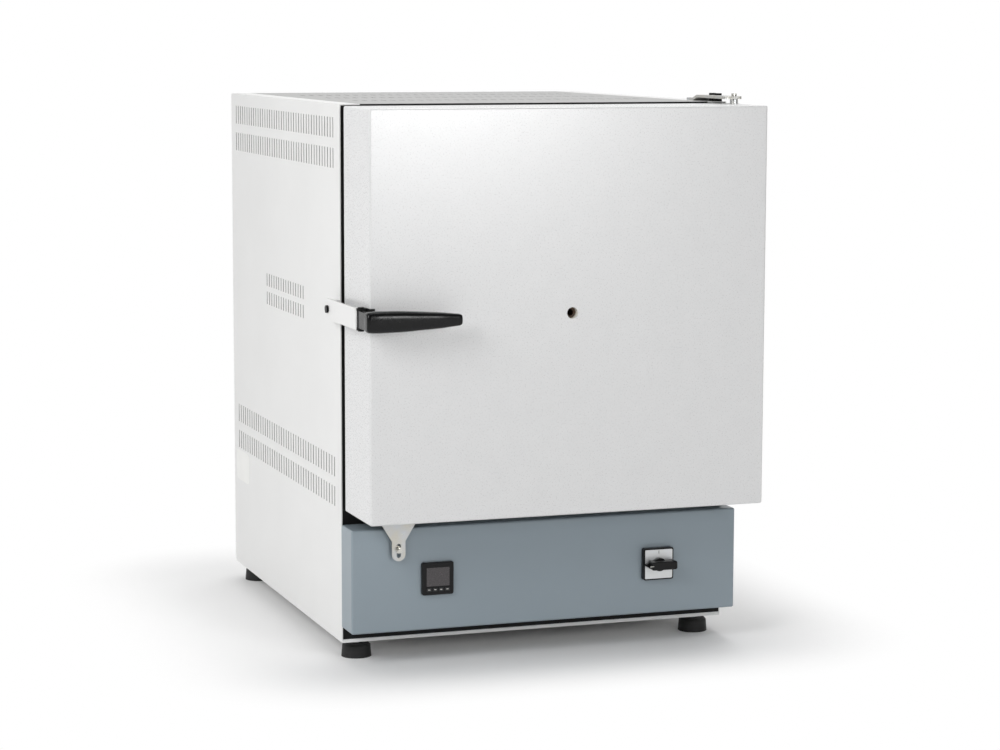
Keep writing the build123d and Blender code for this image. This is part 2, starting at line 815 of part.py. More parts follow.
def make_hinge_pins():
    """Two pins of one size, pressed in the brackets and running in the door's blocks."""
    top = upper_plate_bottom() + hinge_plate + pin_cap
    low = lower_plate_bottom() - pin_cap + skin
    upper = rod("Z", pivot_x, pivot_y, top - pin_length, pin_radius, pin_length)
    lower = rod("Z", pivot_x, pivot_y, low, pin_radius, pin_length)
    return Compound(children=[lower, upper])


def make_hinge_screws():
    """Screws of the upper bracket, two of them sleeved, and of the lower one on the frame."""
    screws = []
    low = body_top - 4 * skin
    for setback in hinge_screw_setbacks:
        raised = setback < hinge_ramp[0]
        under = upper_plate_bottom() if raised else body_top
        seat = under + hinge_plate
        screw = rod("Z", pivot_x, setback, seat, hinge_head_radius, hinge_head_height)
        screw += rod("Z", pivot_x, setback, low, hinge_screw_radius, seat - low)
        if raised:
            screw += rod("Z", pivot_x, setback, body_top, hinge_sleeve_radius, under - body_top)
        screws.append(screw)
    for rise in lower_screw_rises:
        z = lower_plate_bottom() + rise
        head = rod("Y", pivot_x, -lower_plate - hinge_head_height, z, hinge_head_radius,
                   hinge_head_height)
        shank = rod("Y", pivot_x, -lower_plate, z, hinge_screw_radius, lower_plate + 2 * frame_sheet)
        screws.append(head + shank)
    return Compound(children=screws)


def make_keeper_strip():
    """Keeper: an upright strip beside the door whose front edge is rolled into a round nose."""
    outer = -half - keeper_standoff - keeper_sheet
    strip = Pos(outer + keeper_sheet / 2, (keeper_rear - keeper_reach) / 2)
    plan = strip * Rectangle(keeper_sheet, keeper_rear + keeper_reach)
    plan += Pos(outer + keeper_nose_radius, -keeper_reach) * Circle(keeper_nose_radius)
    keeper = standing(plan, middle_z - latch_height / 2, middle_z + latch_height / 2)
    rear = keeper.edges().filter_by(Axis.X).sort_by(Axis.Y)[-2:]
    keeper = fillet(rear, keeper_nose_radius)
    return keeper - rod("X", outer - skin, keeper_screw_setback, middle_z,
                        keeper_screw_radius + press_gap, 2 * keeper_sheet)


def make_keeper_spacer():
    """Block that holds the keeper clear of the side panel, so the lever's tail passes inside."""
    spacer = block(-half - keeper_standoff, -half, 1, keeper_rear - 1,
                   middle_z - latch_height / 2 + 2, middle_z + latch_height / 2 - 2)
    return spacer - rod("X", -half - casing_width, keeper_screw_setback, middle_z,
                        keeper_screw_radius + press_gap, 2 * casing_width)


def make_keeper_screw():
    """Bolt through keeper, spacer and side panel, with its nut inside."""
    outer = -half - keeper_standoff - keeper_sheet
    inside = -half + skin
    head = rod("X", outer - keeper_head_height, keeper_screw_setback, middle_z,
               keeper_head_radius, keeper_head_height)
    shank = rod("X", outer, keeper_screw_setback, middle_z, keeper_screw_radius,
                inside + 2 * keeper_head_height - outer)
    nut = Plane(origin=(inside, keeper_screw_setback, middle_z), z_dir=(1, 0, 0))
    nut_body = extrude(nut * RegularPolygon(keeper_head_radius, 6), amount=keeper_head_height)
    return head + shank + nut_body


def make_latch_bracket():
    """Angle over the door's front left corner with two ears that hold the lever's pin."""
    low = middle_z - lever_height / 2 - ear_gap - ear_thickness
    high = middle_z + lever_height / 2 + ear_gap + ear_thickness
    legs = block(-half - angle_sheet, -half, door_front - angle_sheet,
                 door_front + angle_side_leg, low, high)
    legs += block(-half - angle_sheet, -half + angle_front_leg, door_front - angle_sheet,
                  door_front, low, high)
    reach = lever_pivot_standoff - angle_sheet
    ear = Pos(pivot_left, pivot_latch_y) * Circle(ear_radius)
    ear += Pos(pivot_left + reach / 2, pivot_latch_y) * Rectangle(reach, 2 * ear_radius)
    for z0 in (low, high - ear_thickness):
        legs += standing(ear, z0, z0 + ear_thickness)
    return legs - rod("Z", pivot_left, pivot_latch_y, low - skin, latch_pin_radius + press_gap,
                      high - low + 2 * skin)


def make_latch_pin():
    """Pin of the latch lever, headed above and below the ears."""
    low = middle_z - lever_height / 2 - ear_gap - ear_thickness
    high = middle_z + lever_height / 2 + ear_gap + ear_thickness
    pin = rod("Z", pivot_left, pivot_latch_y, low, latch_pin_radius, high - low)
    for z in (low - latch_pin_head_height, high):
        pin += rod("Z", pivot_left, pivot_latch_y, z, latch_pin_head, latch_pin_head_height)
    return pin


def make_latch_lever():
    """Lever: hooked tail behind the keeper, hub on the pin, neck round the corner and tang."""
    inner = -half - lever_neck_standoff
    outer = inner - lever_neck
    front = grip_y - tang_depth / 2 - angle_sheet
    back = grip_y + tang_depth / 2 + angle_sheet
    neck = make_face(Polyline((outer, pivot_latch_y), (outer, front), (grip_root_x, front),
                              (grip_root_x, back), (inner, back), (inner, pivot_latch_y),
                              close=True))
    corner = neck.vertices().sort_by(Axis.Y)[:2].sort_by(Axis.X)[0]
    neck = fillet(corner, lever_corner_radius)
    tail = make_face(Polyline((-half - lever_tail_standoff, pivot_latch_y),
                              (-half - lever_tail_standoff, -lever_tail_end),
                              (-half - lever_lip_outer, -lever_tail_end),
                              (-half - lever_lip_outer, -lever_lip_front),
                              (-half - lever_tail_outer, -lever_lip_front),
                              (-half - lever_tail_outer, pivot_latch_y), close=True))
    plan = neck + tail + Pos(pivot_left, pivot_latch_y) * Circle(lever_hub_radius)
    lever = standing(plan, middle_z - lever_height / 2, middle_z + lever_height / 2)
    lever += block(grip_root_x, grip_root_x + tang_length, grip_y - tang_depth / 2,
                   grip_y + tang_depth / 2, middle_z - tang_height / 2,
                   middle_z + tang_height / 2)
    return lever - rod("Z", pivot_left, pivot_latch_y, 0, latch_pin_radius + running_gap, body_top)


def grip_outline(depth, height):
    """Return the grip's section: a superellipse in straight facets."""
    outline = []
    for index in range(grip_facets):
        turn = 2 * pi * index / grip_facets
        reach = (abs(cos(turn)) ** grip_power + abs(sin(turn)) ** grip_power) ** (-1 / grip_power)
        outline.append((depth / 2 * reach * cos(turn), height / 2 * reach * sin(turn)))
    return make_face(Polyline(*outline, close=True))


def make_latch_grip():
    """Moulded grip that tapers to its end, with a socket for the lever's neck and tang."""
    sections = []
    for station, height, depth in zip(grip_stations, grip_heights, grip_depths):
        x = -half - grip_overhang + station
        plane = Plane(origin=(x, grip_y, middle_z), z_dir=(1, 0, 0), x_dir=(0, 1, 0))
        sections.append(plane * grip_outline(depth, height))
    grip = loft(sections, ruled=True)
    neck = -half - lever_neck_standoff - lever_neck
    reach_z = lever_height / 2 + tang_gap
    grip -= block(neck - tang_gap, grip_root_x + tang_gap,
                  grip_y - tang_depth / 2 - angle_sheet - tang_gap, grip_y + max(grip_depths),
                  middle_z - reach_z, middle_z + reach_z)
    return grip - block(grip_root_x - skin, grip_root_x + tang_length + tang_gap,
                        grip_y - tang_depth / 2 - tang_gap, grip_y + tang_depth / 2 + tang_gap,
                        middle_z - tang_height / 2 - tang_gap,
                        middle_z + tang_height / 2 + tang_gap)


def make_control_cover():
    """Control box: a pan in front of the casing with cut-outs, and two tabs inside the casing."""
    cover = open_pan(-half, half, panel_face, 0, control_bottom, control_top, skin,
                     control_edge_radius)
    for x0 in (-half + skin, half - 2 * skin):
        cover += block(x0, x0 + skin, panel_face + 2 * skin, control_tab,
                       control_middle - control_tab_height / 2,
                       control_middle + control_tab_height / 2)
    hole = controller_body / 2 + cutout_gap
    cover -= block(controller_x - hole, controller_x + hole, panel_face - skin,
                   panel_face + 2 * skin, control_middle - hole, control_middle + hole)
    cover -= rod("Y", switch_x, panel_face - skin, control_middle,
                 knob_stem_radius + switch_base_depth, 3 * skin)
    return cover - rod("Y", tongue_x, panel_face - skin, plunger_z,
                       plunger_radius + plunger_gap, 3 * skin)


def key_places():
    """Return the x positions of the controller's keys."""
    middle = (key_count - 1) / 2
    return [controller_x + (index - middle) * key_pitch for index in range(key_count)]


def make_controller_case():
    """Controller: a square bezel in front of the panel and a long body behind it."""
    plane = facing(controller_x, panel_face, control_middle)
    bezel = extrude(plane * RectangleRounded(controller_size, controller_size, bezel_corner),
                    amount=controller_bezel)
    face = bezel.faces().sort_by(Axis.Y)[0]
    bezel = chamfer(face.edges(), window_depth)
    case = bezel + extrude(plane * Rectangle(controller_body, controller_body),
                           amount=-controller_length)
    front = panel_face - controller_bezel
    recess = Pos(controller_x, front, control_middle + window_rise) * Box(
        window_width, 2 * window_depth, window_height)
    case -= recess
    for x in key_places():
        case -= Pos(x, front, control_middle - key_drop) * Box(
            key_width + 2 * key_gap, 2 * key_depth, key_height + 2 * key_gap)
    return case


def make_controller_window():
    """Display window let into the bezel."""
    y = panel_face - controller_bezel + window_depth / 2
    return Pos(controller_x, y, control_middle + window_rise) * Box(
        window_width - sheet_gap, window_depth, window_height - sheet_gap)


def make_key(index):
    """One push key of the controller, which travels into its pocket."""
    front = panel_face - controller_bezel - key_proud
    rear = panel_face - controller_bezel + key_depth - key_proud - 2 * key_gap
    key = block(0, key_width, front, rear, 0, key_height)
    key = fillet(key.edges().filter_by(Axis.Y), key_proud)
    return Pos(key_places()[index] - key_width / 2, 0,
               control_middle - key_drop - key_height / 2) * key


def make_switch_base():
    """Moulded front housing of the rotary switch."""
    plane = facing(switch_x, panel_face, control_middle)
    base = extrude(plane * RectangleRounded(switch_size, switch_size, bezel_corner),
                   amount=switch_base_depth)
    return base - rod("Y", switch_x, panel_face - 2 * switch_base_depth, control_middle,
                      knob_stem_radius + running_gap, 3 * switch_base_depth)


def make_switch_plate():
    """Metal legend plate on the switch housing."""
    plane = facing(switch_x, panel_face - switch_base_depth, control_middle)
    plate = extrude(plane * RectangleRounded(switch_plate_size, switch_plate_size, bezel_corner / 2),
                    amount=switch_plate_depth)
    return plate - rod("Y", switch_x, 2 * panel_face, control_middle,
                       knob_stem_radius + 2 * key_gap, control_projection)


def make_switch_body():
    """Contact block of the rotary switch behind the panel."""
    y0 = panel_face + skin
    size = switch_body_size / 2
    body = block(switch_x - size, switch_x + size, y0, y0 + switch_body_length,
                 control_middle - size, control_middle + size)
    return fillet(body.edges().filter_by(Axis.Y), bezel_corner)


def make_switch_knob():
    """Pointer knob: a low skirt drawn out to a point, a bar across it, and a short stem."""
    reach = knob_length / 2
    back = panel_face - switch_base_depth - switch_plate_depth - knob_gap
    plane = facing(switch_x, back, control_middle)
    tip = Pos(knob_tip_radius - reach, 0) * Circle(knob_tip_radius)
    skirt = make_hull(tip.edges() + Circle(knob_hub_radius).edges())
    bar = Pos((reach - knob_arm_start) / 2, 0) * RectangleRounded(
        reach + knob_arm_start, knob_arm, 2 * knob_tip_radius)
    grip = extrude(plane * bar, amount=knob_depth)
    grip = chamfer(grip.faces().sort_by(Axis.Y)[0].edges(), knob_bevel)
    knob = grip + extrude(plane * skirt, amount=knob_skirt)
    return knob + rod("Y", switch_x, back, control_middle, knob_stem_radius, panel_face - back)


def flange_screw_places():
    """Return the x positions of the two screws that hold the tongue."""
    return (tongue_x - flange_screw_offset, tongue_x + flange_screw_offset)


def flange_screw_y():
    """Return the y position of the tongue's screws."""
    return tongue_front() + tongue_sheet + tongue_flange / 2


def tongue_front():
    """Return the y position of the tongue's front face."""
    return panel_face - tongue_gap - tongue_sheet


def make_limit_tongue():
    """Bent plate under the door that hangs in front of the panel, with a slot for its screw."""
    z0 = tongue_end + tongue_narrow
    plan = Polyline((tongue_x - tongue_narrow, z0), (tongue_x - tongue_narrow, tongue_neck),
                    (tongue_x - tongue_top_half, door_bottom),
                    (tongue_x + tongue_top_half, door_bottom),
                    (tongue_x + tongue_narrow, tongue_neck), (tongue_x + tongue_narrow, z0),
                    close=True)
    outline = make_face(plan) + Pos(tongue_x, z0) * Circle(tongue_narrow)
    slot = Rot(0, 0, 90) * SlotOverall(tongue_slot_height, tongue_slot_width)
    outline -= Pos(tongue_x, tongue_slot_z) * slot
    y0 = tongue_front()
    tongue = running_back(outline, y0, y0 + tongue_sheet)
    tongue += block(tongue_x - tongue_top_half, tongue_x + tongue_top_half, y0,
                    y0 + tongue_sheet + tongue_flange, door_bottom - tongue_sheet, door_bottom)
    for x in flange_screw_places():
        tongue -= rod("Z", x, flange_screw_y(), tongue_neck, flange_screw_radius + press_gap,
                      door_height)
    return tongue


def make_tongue_screws():
    """Adjusting screw in the tongue's slot with its nut, and two screws into the door."""
    y0 = tongue_front()
    tip = panel_face - plunger_proud - plunger_gap
    start = y0 - adjuster_nut_height - adjuster_tail
    adjuster = rod("Y", tongue_x, start, plunger_z, adjuster_radius, tip - start)
    adjuster += rod("Y", tongue_x, y0 - adjuster_nut_height, plunger_z, adjuster_head_radius,
                    adjuster_nut_height)
    gap = tip - skin / 2 - y0 - tongue_sheet
    adjuster += rod("Y", tongue_x, y0 + tongue_sheet, plunger_z, adjuster_nut_radius, gap)
    screws = [adjuster]
    seat = door_bottom - tongue_sheet
    for x in flange_screw_places():
        head = rod("Z", x, flange_screw_y(), seat - flange_screw_head_height, flange_screw_head,
                   flange_screw_head_height)
        shank = rod("Z", x, flange_screw_y(), seat, flange_screw_radius, tongue_sheet + skin)
        screws.append(head + shank)
    return Compound(children=screws)


def make_limit_switch():
    """Door switch behind the panel, with a blind bore for its plunger."""
    y0 = panel_face + skin
    size = limit_body / 2
    body = block(tongue_x - size, tongue_x + size, y0, y0 + limit_body + size, plunger_z - size,
                 plunger_z + size)
    return body - rod("Y", tongue_x, y0 - skin, plunger_z, plunger_radius + running_gap,
                      plunger_length + plunger_travel)


def make_limit_plunger():
    """Round plunger that the tongue's screw presses when the door is shut."""
    return rod("Y", tongue_x, panel_face - plunger_proud, plunger_z, plunger_radius,
               plunger_length)


def make_relay_heatsink():
    """Finned heat sink on the tray, fins running front to back."""
    z0 = body_bottom + skin
    x0 = heatsink_x - heatsink_width / 2
    y0 = heatsink_y - heatsink_depth / 2
    y1 = y0 + heatsink_depth
    z1 = z0 + heatsink_height
    sink = block(x0, x0 + heatsink_width, y0, y1, z1 - heatsink_base, z1)
    step = (heatsink_width - fin_thickness) / (fin_count - 1)
    for index in range(fin_count):
        x = x0 + index * step
        sink += block(x, x + fin_thickness, y0, y1, z0, z1 - heatsink_base)
    return sink


def make_solid_state_relay():
    """Relay on the heat sink that switches the heating coils."""
    z0 = body_bottom + skin + heatsink_height
    relay = block(heatsink_x - relay_width / 2, heatsink_x + relay_width / 2,
                  heatsink_y - relay_depth / 2, heatsink_y + relay_depth / 2, z0,
                  z0 + relay_height)
    return chamfer(relay.faces().sort_by(Axis.Z)[-1].edges(), 2 * skin)


def make_terminal_block():
    """Mains terminal block on the tray near the gland."""
    z0 = body_bottom + skin
    y0 = casing_depth - terminal_setback
    terminal = block(terminal_x - terminal_width / 2, terminal_x + terminal_width / 2,
                     y0, y0 + terminal_depth, z0, z0 + terminal_height)
    return chamfer(terminal.faces().sort_by(Axis.Z)[-1].edges().filter_by(Axis.X), 3 * skin)


def make_cable_gland():
    """Gland for the mains cable, low on the rear panel, with a thread through the sheet."""
    outer = casing_depth - skin - sheet_gap
    inner = outer - skin
    length = gland_length - skin
    gland = rod("Y", gland_x, outer, gland_z, gland_thread_radius + skin, length)
    nut = Plane(origin=(gland_x, outer, gland_z), z_dir=(0, 1, 0))
    gland += extrude(nut * RegularPolygon(gland_radius, 6), amount=length / 2)
    gland += rod("Y", gland_x, inner - gland_inside, gland_z, gland_thread_radius,
                 gland_inside + skin)
    gland += rod("Y", gland_x, inner - 3 * skin, gland_z, gland_radius, 3 * skin)
    return gland - rod("Y", gland_x, 0, gland_z, gland_bore, 2 * casing_depth)


parts = {
    "base_tray": make_base_tray(),
    "left_side_panel": make_left_panel(),
    "right_side_panel": make_right_panel(),
    "top_cover": make_top_cover(),
    "rear_panel": make_rear_panel(),
    "front_frame": make_front_frame(),
    "divider_plate": make_divider_plate(),
    "inner_casing": make_inner_casing(),
    "backup_blanket": make_backup_blanket(),
    "backup_rear": make_backup_rear(),
    "chamber_floor": make_flat_board(-1),
    "chamber_roof": make_flat_board(1),
    "chamber_left": make_side_board(),
    "chamber_right": mirror(make_side_board(), Plane.YZ),
    "chamber_back": make_back_board(),
    "heater_left": make_heater(),
    "heater_right": mirror(make_heater(), Plane.YZ),
    "hearth_plate": make_hearth_plate(),
    "thermocouple": make_thermocouple(),
    "exhaust_tube": make_exhaust_tube(),
    "exhaust_spigot": make_exhaust_spigot(),
    "feet_pads": make_feet_pads(),
    "feet_studs": make_feet_studs(),
    "top_hinge_bracket": make_top_hinge_bracket(),
    "bottom_hinge_bracket": make_bottom_hinge_bracket(),
    "hinge_pins": make_hinge_pins(),
    "hinge_screws": make_hinge_screws(),
    "keeper_strip": make_keeper_strip(),
    "keeper_spacer": make_keeper_spacer(),
    "keeper_screw": make_keeper_screw(),
    "control_cover": make_control_cover(),
    "controller_case": make_controller_case(),
    "controller_window": make_controller_window(),
    "switch_base": make_switch_base(),
    "switch_plate": make_switch_plate(),
    "switch_body": make_switch_body(),
    "limit_switch": make_limit_switch(),
    "relay_heatsink": make_relay_heatsink(),
    "solid_state_relay": make_solid_state_relay(),
    "terminal_block": make_terminal_block(),
    "cable_gland": make_cable_gland(),
    "door_shell": make_door_shell(),
    "door_back_plate": make_door_back_plate(),
    "door_insulation": make_door_insulation(),
    "door_plug": make_door_plug(),
    "door_seal": make_door_seal(),
    "peep_tube": make_peep_tube(),
    "door_hinge_blocks": make_door_hinge_blocks(),
    "limit_tongue": make_limit_tongue(),
    "tongue_screws": make_tongue_screws(),
    "latch_bracket": make_latch_bracket(),
    "latch_pin": make_latch_pin(),
    "latch_lever": make_latch_lever(),
    "latch_grip": make_latch_grip(),
    "switch_knob": make_switch_knob(),
    "limit_plunger": make_limit_plunger(),
}
for index in range(key_count):
    parts[f"controller_key_{index + 1}"] = make_key(index)

os.makedirs("parts", exist_ok=True)
for name, shape in parts.items():
    export_step(Pos(-origin_x, -origin_y, 0) * shape, f"parts/{name}.step")
print(f"{len(parts)} nodes written")
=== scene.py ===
"""Looks of a bench muffle furnace: its finishes, its fine pieces, and a plain photo studio."""

import logging
import math
from collections.abc import Sequence
from dataclasses import dataclass
from enum import Enum

import bmesh
import bpy
import numpy as np
from mathutils import Matrix, Vector

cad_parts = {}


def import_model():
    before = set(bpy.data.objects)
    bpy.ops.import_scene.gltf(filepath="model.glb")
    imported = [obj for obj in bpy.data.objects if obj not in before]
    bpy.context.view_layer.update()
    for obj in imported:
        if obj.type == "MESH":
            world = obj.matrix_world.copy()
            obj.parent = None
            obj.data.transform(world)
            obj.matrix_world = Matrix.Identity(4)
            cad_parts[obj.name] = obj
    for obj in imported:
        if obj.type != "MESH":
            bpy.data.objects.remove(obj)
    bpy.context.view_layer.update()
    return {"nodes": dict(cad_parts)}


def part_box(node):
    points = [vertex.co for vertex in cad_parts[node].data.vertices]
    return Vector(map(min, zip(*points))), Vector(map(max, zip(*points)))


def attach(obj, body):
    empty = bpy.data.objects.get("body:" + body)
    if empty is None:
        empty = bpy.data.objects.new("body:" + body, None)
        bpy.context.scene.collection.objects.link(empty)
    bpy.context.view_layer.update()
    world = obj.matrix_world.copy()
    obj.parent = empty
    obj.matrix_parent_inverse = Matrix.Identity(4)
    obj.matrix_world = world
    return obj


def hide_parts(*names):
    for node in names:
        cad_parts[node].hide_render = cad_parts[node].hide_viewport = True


LOG = logging.getLogger("furnace")

Socket = bpy.types.NodeSocket
Tree = bpy.types.NodeTree

MM = 0.001
PATTERN_RANGE = (0.3, 0.7)
MERGE_M = 1e-7
SLIVER_M = 1e-8
SHARP_DEGREES = 35.0
ARC_POINTS = 9
SMOOTHING_WIDTHS = (0.03, 0.07)


# Colours and nodes


def linear(hex_colour: str) -> tuple[float, float, float, float]:
    """Turn an sRGB hex colour into the linear colour that Blender's sockets take.

    Each channel c is c / 12.92 up to 0.04045, and ((c + 0.055) / 1.055) to the power 2.4 above.

    Args:
        hex_colour: six hex digits after a number sign.

    Returns:
        Red, green, blue and an alpha of one.
    """
    channels = [int(hex_colour[i : i + 2], 16) / 255 for i in (1, 3, 5)]
    red, green, blue = (c / 12.92 if c <= 0.04045 else ((c + 0.055) / 1.055) ** 2.4 for c in channels)
    return red, green, blue, 1.0


def add_node(
    tree: Tree,
    kind: str,
    settings: dict[str, object] | None = None,
    inputs: dict[str | int, object] | None = None,
) -> bpy.types.Node:
    """Add a node, give it its settings, and set or link its inputs.

    Args:
        tree: the node tree that takes the node.
        kind: the node's type, such as ShaderNodeTexNoise.
        settings: attributes of the node, such as operation.
        inputs: a value or another node's output for each named or numbered input.

    Returns:
        The new node.
    """
    node = tree.nodes.new(kind)
    for name, value in (settings or {}).items():
        setattr(node, name, value)
    for name, value in (inputs or {}).items():
        if isinstance(value, Socket):
            tree.links.new(value, node.inputs[name])
        else:
            node.inputs[name].default_value = value
    return node


def calculate(tree: Tree, operation: str, *values: float | Socket) -> Socket:
    """Return the result of one mathematical operation.

    Args:
        tree: the node tree that takes the node.
        operation: the operation's name, such as ADD.
        values: numbers or other nodes' outputs, in the operation's order.

    Returns:
        The result.
    """
    node = add_node(tree, "ShaderNodeMath", {"operation": operation}, dict(enumerate(values)))
    return node.outputs[0]


def new_material(name: str) -> tuple[bpy.types.Material, Tree, bpy.types.Node]:
    """Make an empty node material with its output.

    Args:
        name: the material's name.

    Returns:
        The material, its tree, and the output node.
    """
    material = bpy.data.materials.new(name)
    material.use_nodes = True
    tree = material.node_tree
    tree.nodes.clear()
    return material, tree, add_node(tree, "ShaderNodeOutputMaterial")


def shade(
    finish: "Finish", tree: Tree, output: bpy.types.Node, sockets: dict[str, object]
) -> None:
    """Join a Principled shader with a finish's constant sockets to the output.

    Args:
        finish: gives the metallic value and the index of refraction.
        tree: the material's tree.
        output: the material's output node.
        sockets: values or outputs for the shader's inputs.
    """
    constants = {"Metallic": finish.metallic, "IOR": finish.ior}
    shader = add_node(tree, "ShaderNodeBsdfPrincipled", None, {**constants, **sockets})
    tree.links.new(shader.outputs["BSDF"], output.inputs["Surface"])


def noise(
    tree: Tree,
    grain_mm: float,
    detail: float = 2.0,
    stretch: tuple[float, float, float] = (1.0, 1.0, 1.0),
) -> Socket:
    """Return a noise pattern whose lumps are about one grain across.

    Args:
        tree: the material's tree.
        grain_mm: the size of one lump in millimetres.
        detail: octaves of finer noise on top.
        stretch: how much longer the lumps are along each axis.

    Returns:
        The noise factor, from 0 to 1 with a mean near 0.5.
    """
    point = add_node(tree, "ShaderNodeTexCoord").outputs["Object"]
    scale = [1 / (grain_mm * MM * factor) for factor in stretch]
    scaled = add_node(tree, "ShaderNodeMapping", None, {"Vector": point, "Scale": scale})
    inputs = {"Vector": scaled.outputs[0], "Scale": 1.0, "Detail": detail, "Roughness": 0.55}
    return add_node(tree, "ShaderNodeTexNoise", None, inputs).outputs["Fac"]


def between(tree: Tree, factor: Socket, low: float, high: float) -> Socket:
    """Map a pattern's middle range onto low to high, and hold it there outside.

    Args:
        tree: the material's tree.
        factor: the pattern.
        low: the result at the range's start and below.
        high: the result at the range's end and above.

    Returns:
        The mapped value.
    """
    start, end = PATTERN_RANGE
    inputs = {"Value": factor, "From Min": start, "From Max": end, "To Min": low, "To Max": high}
    return add_node(tree, "ShaderNodeMapRange", None, inputs).outputs["Result"]


def tint(tree: Tree, factor: Socket, first: str | Socket, second: str) -> Socket:
    """Mix two colours by a factor.

    Args:
        tree: the material's tree.
        factor: 0 gives the first colour, 1 the second.
        first: an sRGB hex colour, or a colour that another node gives.
        second: an sRGB hex colour.

    Returns:
        The mixed colour.
    """
    start = linear(first) if isinstance(first, str) else first
    inputs = {"Factor": factor, 6: start, 7: linear(second)}
    return add_node(tree, "ShaderNodeMix", {"data_type": "RGBA"}, inputs).outputs[2]


def inside(tree: Tree, value: Socket, low: float, high: float) -> Socket:
    """Return one where a value lies between two limits, and zero outside.

    Args:
        tree: the material's tree.
        value: the value to compare.
        low: the lower limit.
        high: the upper limit.

    Returns:
        One or zero.
    """
    return calculate(tree, "COMPARE", value, (low + high) / 2, (high - low) / 2)


def relief(tree: Tree, height: Socket, depth_mm: float) -> Socket:
    """Return a bumped normal in which the height pattern is depth_mm deep.

    Args:
        tree: the material's tree.
        height: a pattern from 0 to 1.
        depth_mm: the depth of the relief in millimetres.

    Returns:
        The bumped normal.
    """
    inputs = {"Height": height, "Distance": depth_mm * MM, "Strength": 1.0}
    return add_node(tree, "ShaderNodeBump", None, inputs).outputs["Normal"]


# Finishes


@dataclass(frozen=True)
class Finish:
    """What every finish has: name, colour, roughness, optical constants and patch sizes."""

    name: str
    colour: str
    roughness: float = 0.5
    metallic: float = 0.0
    ior: float = 1.5
    tone_mm: float = 60.0
    gloss_mm: float = 25.0

    def material(self) -> bpy.types.Material:
        """Return the material that shows this finish."""
        material, tree, output = new_material(self.name)
        shade(self, tree, output, self.sockets(tree))
        material.diffuse_color = linear(self.colour)
        return material

    def sockets(self, tree: Tree) -> dict[str, object]:
        """Return the shader inputs of a plain finish, with its tone a little uneven."""
        tone = between(tree, noise(tree, self.tone_mm), 0.0, 0.06)
        colour = tint(tree, tone, self.colour, "#7F7F7F")
        return {"Base Color": colour, "Roughness": self.gloss(tree, 0.04)}

    def gloss(self, tree: Tree, spread: float) -> Socket:
        """Return the roughness, uneven by a spread to either side."""
        pattern = noise(tree, self.gloss_mm)
        return between(tree, pattern, self.roughness - spread, self.roughness + spread)


@dataclass(frozen=True)
class PowderCoat(Finish):
    """Polyester powder coat on steel, baked to a satin skin with a fine orange peel.

    The eye sees a soft, even colour, a blurred highlight, and a slight unrest in it.
    """

    tone_mm: float = 140.0
    gloss_mm: float = 45.0
    peel_mm: float = 2.4
    peel_depth_mm: float = 0.016
    mottle: float = 0.035

    def sockets(self, tree: Tree) -> dict[str, object]:
        """Return the shader inputs: an almost even colour, uneven gloss and orange peel."""
        tone = between(tree, noise(tree, self.tone_mm), 0.0, self.mottle)
        return {
            "Base Color": tint(tree, tone, self.colour, "#8A8A88"),
            "Roughness": self.gloss(tree, 0.03),
            "Normal": relief(tree, noise(tree, self.peel_mm, 3.0), self.peel_depth_mm),
        }


@dataclass(frozen=True)
class VentShadeSheet(PowderCoat):
    """Powder-coated sheet with painted shade on the walls of its vents.

    The eye sees the vents as mid-grey dashes, since at a flat angle it meets only their walls;
    those walls take a darker colour, painted shade that stands in for the shade inside the vents.
    """

    axis: int = 0
    low: tuple[float, float, float] = (0.0, 0.0, 0.0)
    high: tuple[float, float, float] = (0.0, 0.0, 0.0)
    inset_mm: float = 8.0
    # The vents' walls take this darker colour as painted shade, for the shade inside the narrow vents.
    vent_shade_colour: str = "#5F5F5E"

    def sockets(self, tree: Tree) -> dict[str, object]:
        """Return the coat's inputs, with a darker colour painted on the vents' walls as their shade.

        A wall is where the normal's part along the sheet's axis is under one half, and the point
        lies inside the sheet's box by the inset along the other two axes.
        """
        inputs = super().sockets(tree)
        where = add_node(tree, "ShaderNodeTexCoord")
        normal = add_node(tree, "ShaderNodeSeparateXYZ", None, {0: where.outputs["Normal"]})
        point = add_node(tree, "ShaderNodeSeparateXYZ", None, {0: where.outputs["Object"]})
        # The mask marks the vents' walls, where the shade inside the vents is painted.
        vent_shade_mask = inside(tree, normal.outputs[self.axis], -0.5, 0.5)
        inset = self.inset_mm * MM
        for other in {0, 1, 2} - {self.axis}:
            low, high = self.low[other] + inset, self.high[other] - inset
            vent_shade_mask = calculate(tree, "MULTIPLY", vent_shade_mask, inside(tree, point.outputs[other], low, high))
        return {**inputs, "Base Color": tint(tree, vent_shade_mask, inputs["Base Color"], self.vent_shade_colour)}


@dataclass(frozen=True)
class SilverCoat(Finish):
    """Light silver powder coat with aluminium flake in it, fine-textured.

    The flakes make a light and dark speckle and a broad sheen that fades over the whole door.
    The speckle is drawn at 2 mm, several times coarser than the real flake, so that it shows.
    """

    tone_mm: float = 30.0
    speckle_mm: float = 2.0
    speckle_colour: str = "#BFC1C2"
    speckle: float = 0.30
    grain_depth_mm: float = 0.035

    def sockets(self, tree: Tree) -> dict[str, object]:
        """Return the shader inputs: speckled colour, speckled gloss and a fine grain."""
        flake = noise(tree, self.speckle_mm, 4.0)
        patches = between(tree, noise(tree, self.tone_mm), 0.0, 0.08)
        total = calculate(tree, "ADD", patches, between(tree, flake, 0.0, self.speckle))
        return {
            "Base Color": tint(tree, total, self.colour, self.speckle_colour),
            "Roughness": between(tree, flake, self.roughness - 0.06, self.roughness + 0.06),
            "Normal": relief(tree, flake, self.grain_depth_mm),
        }


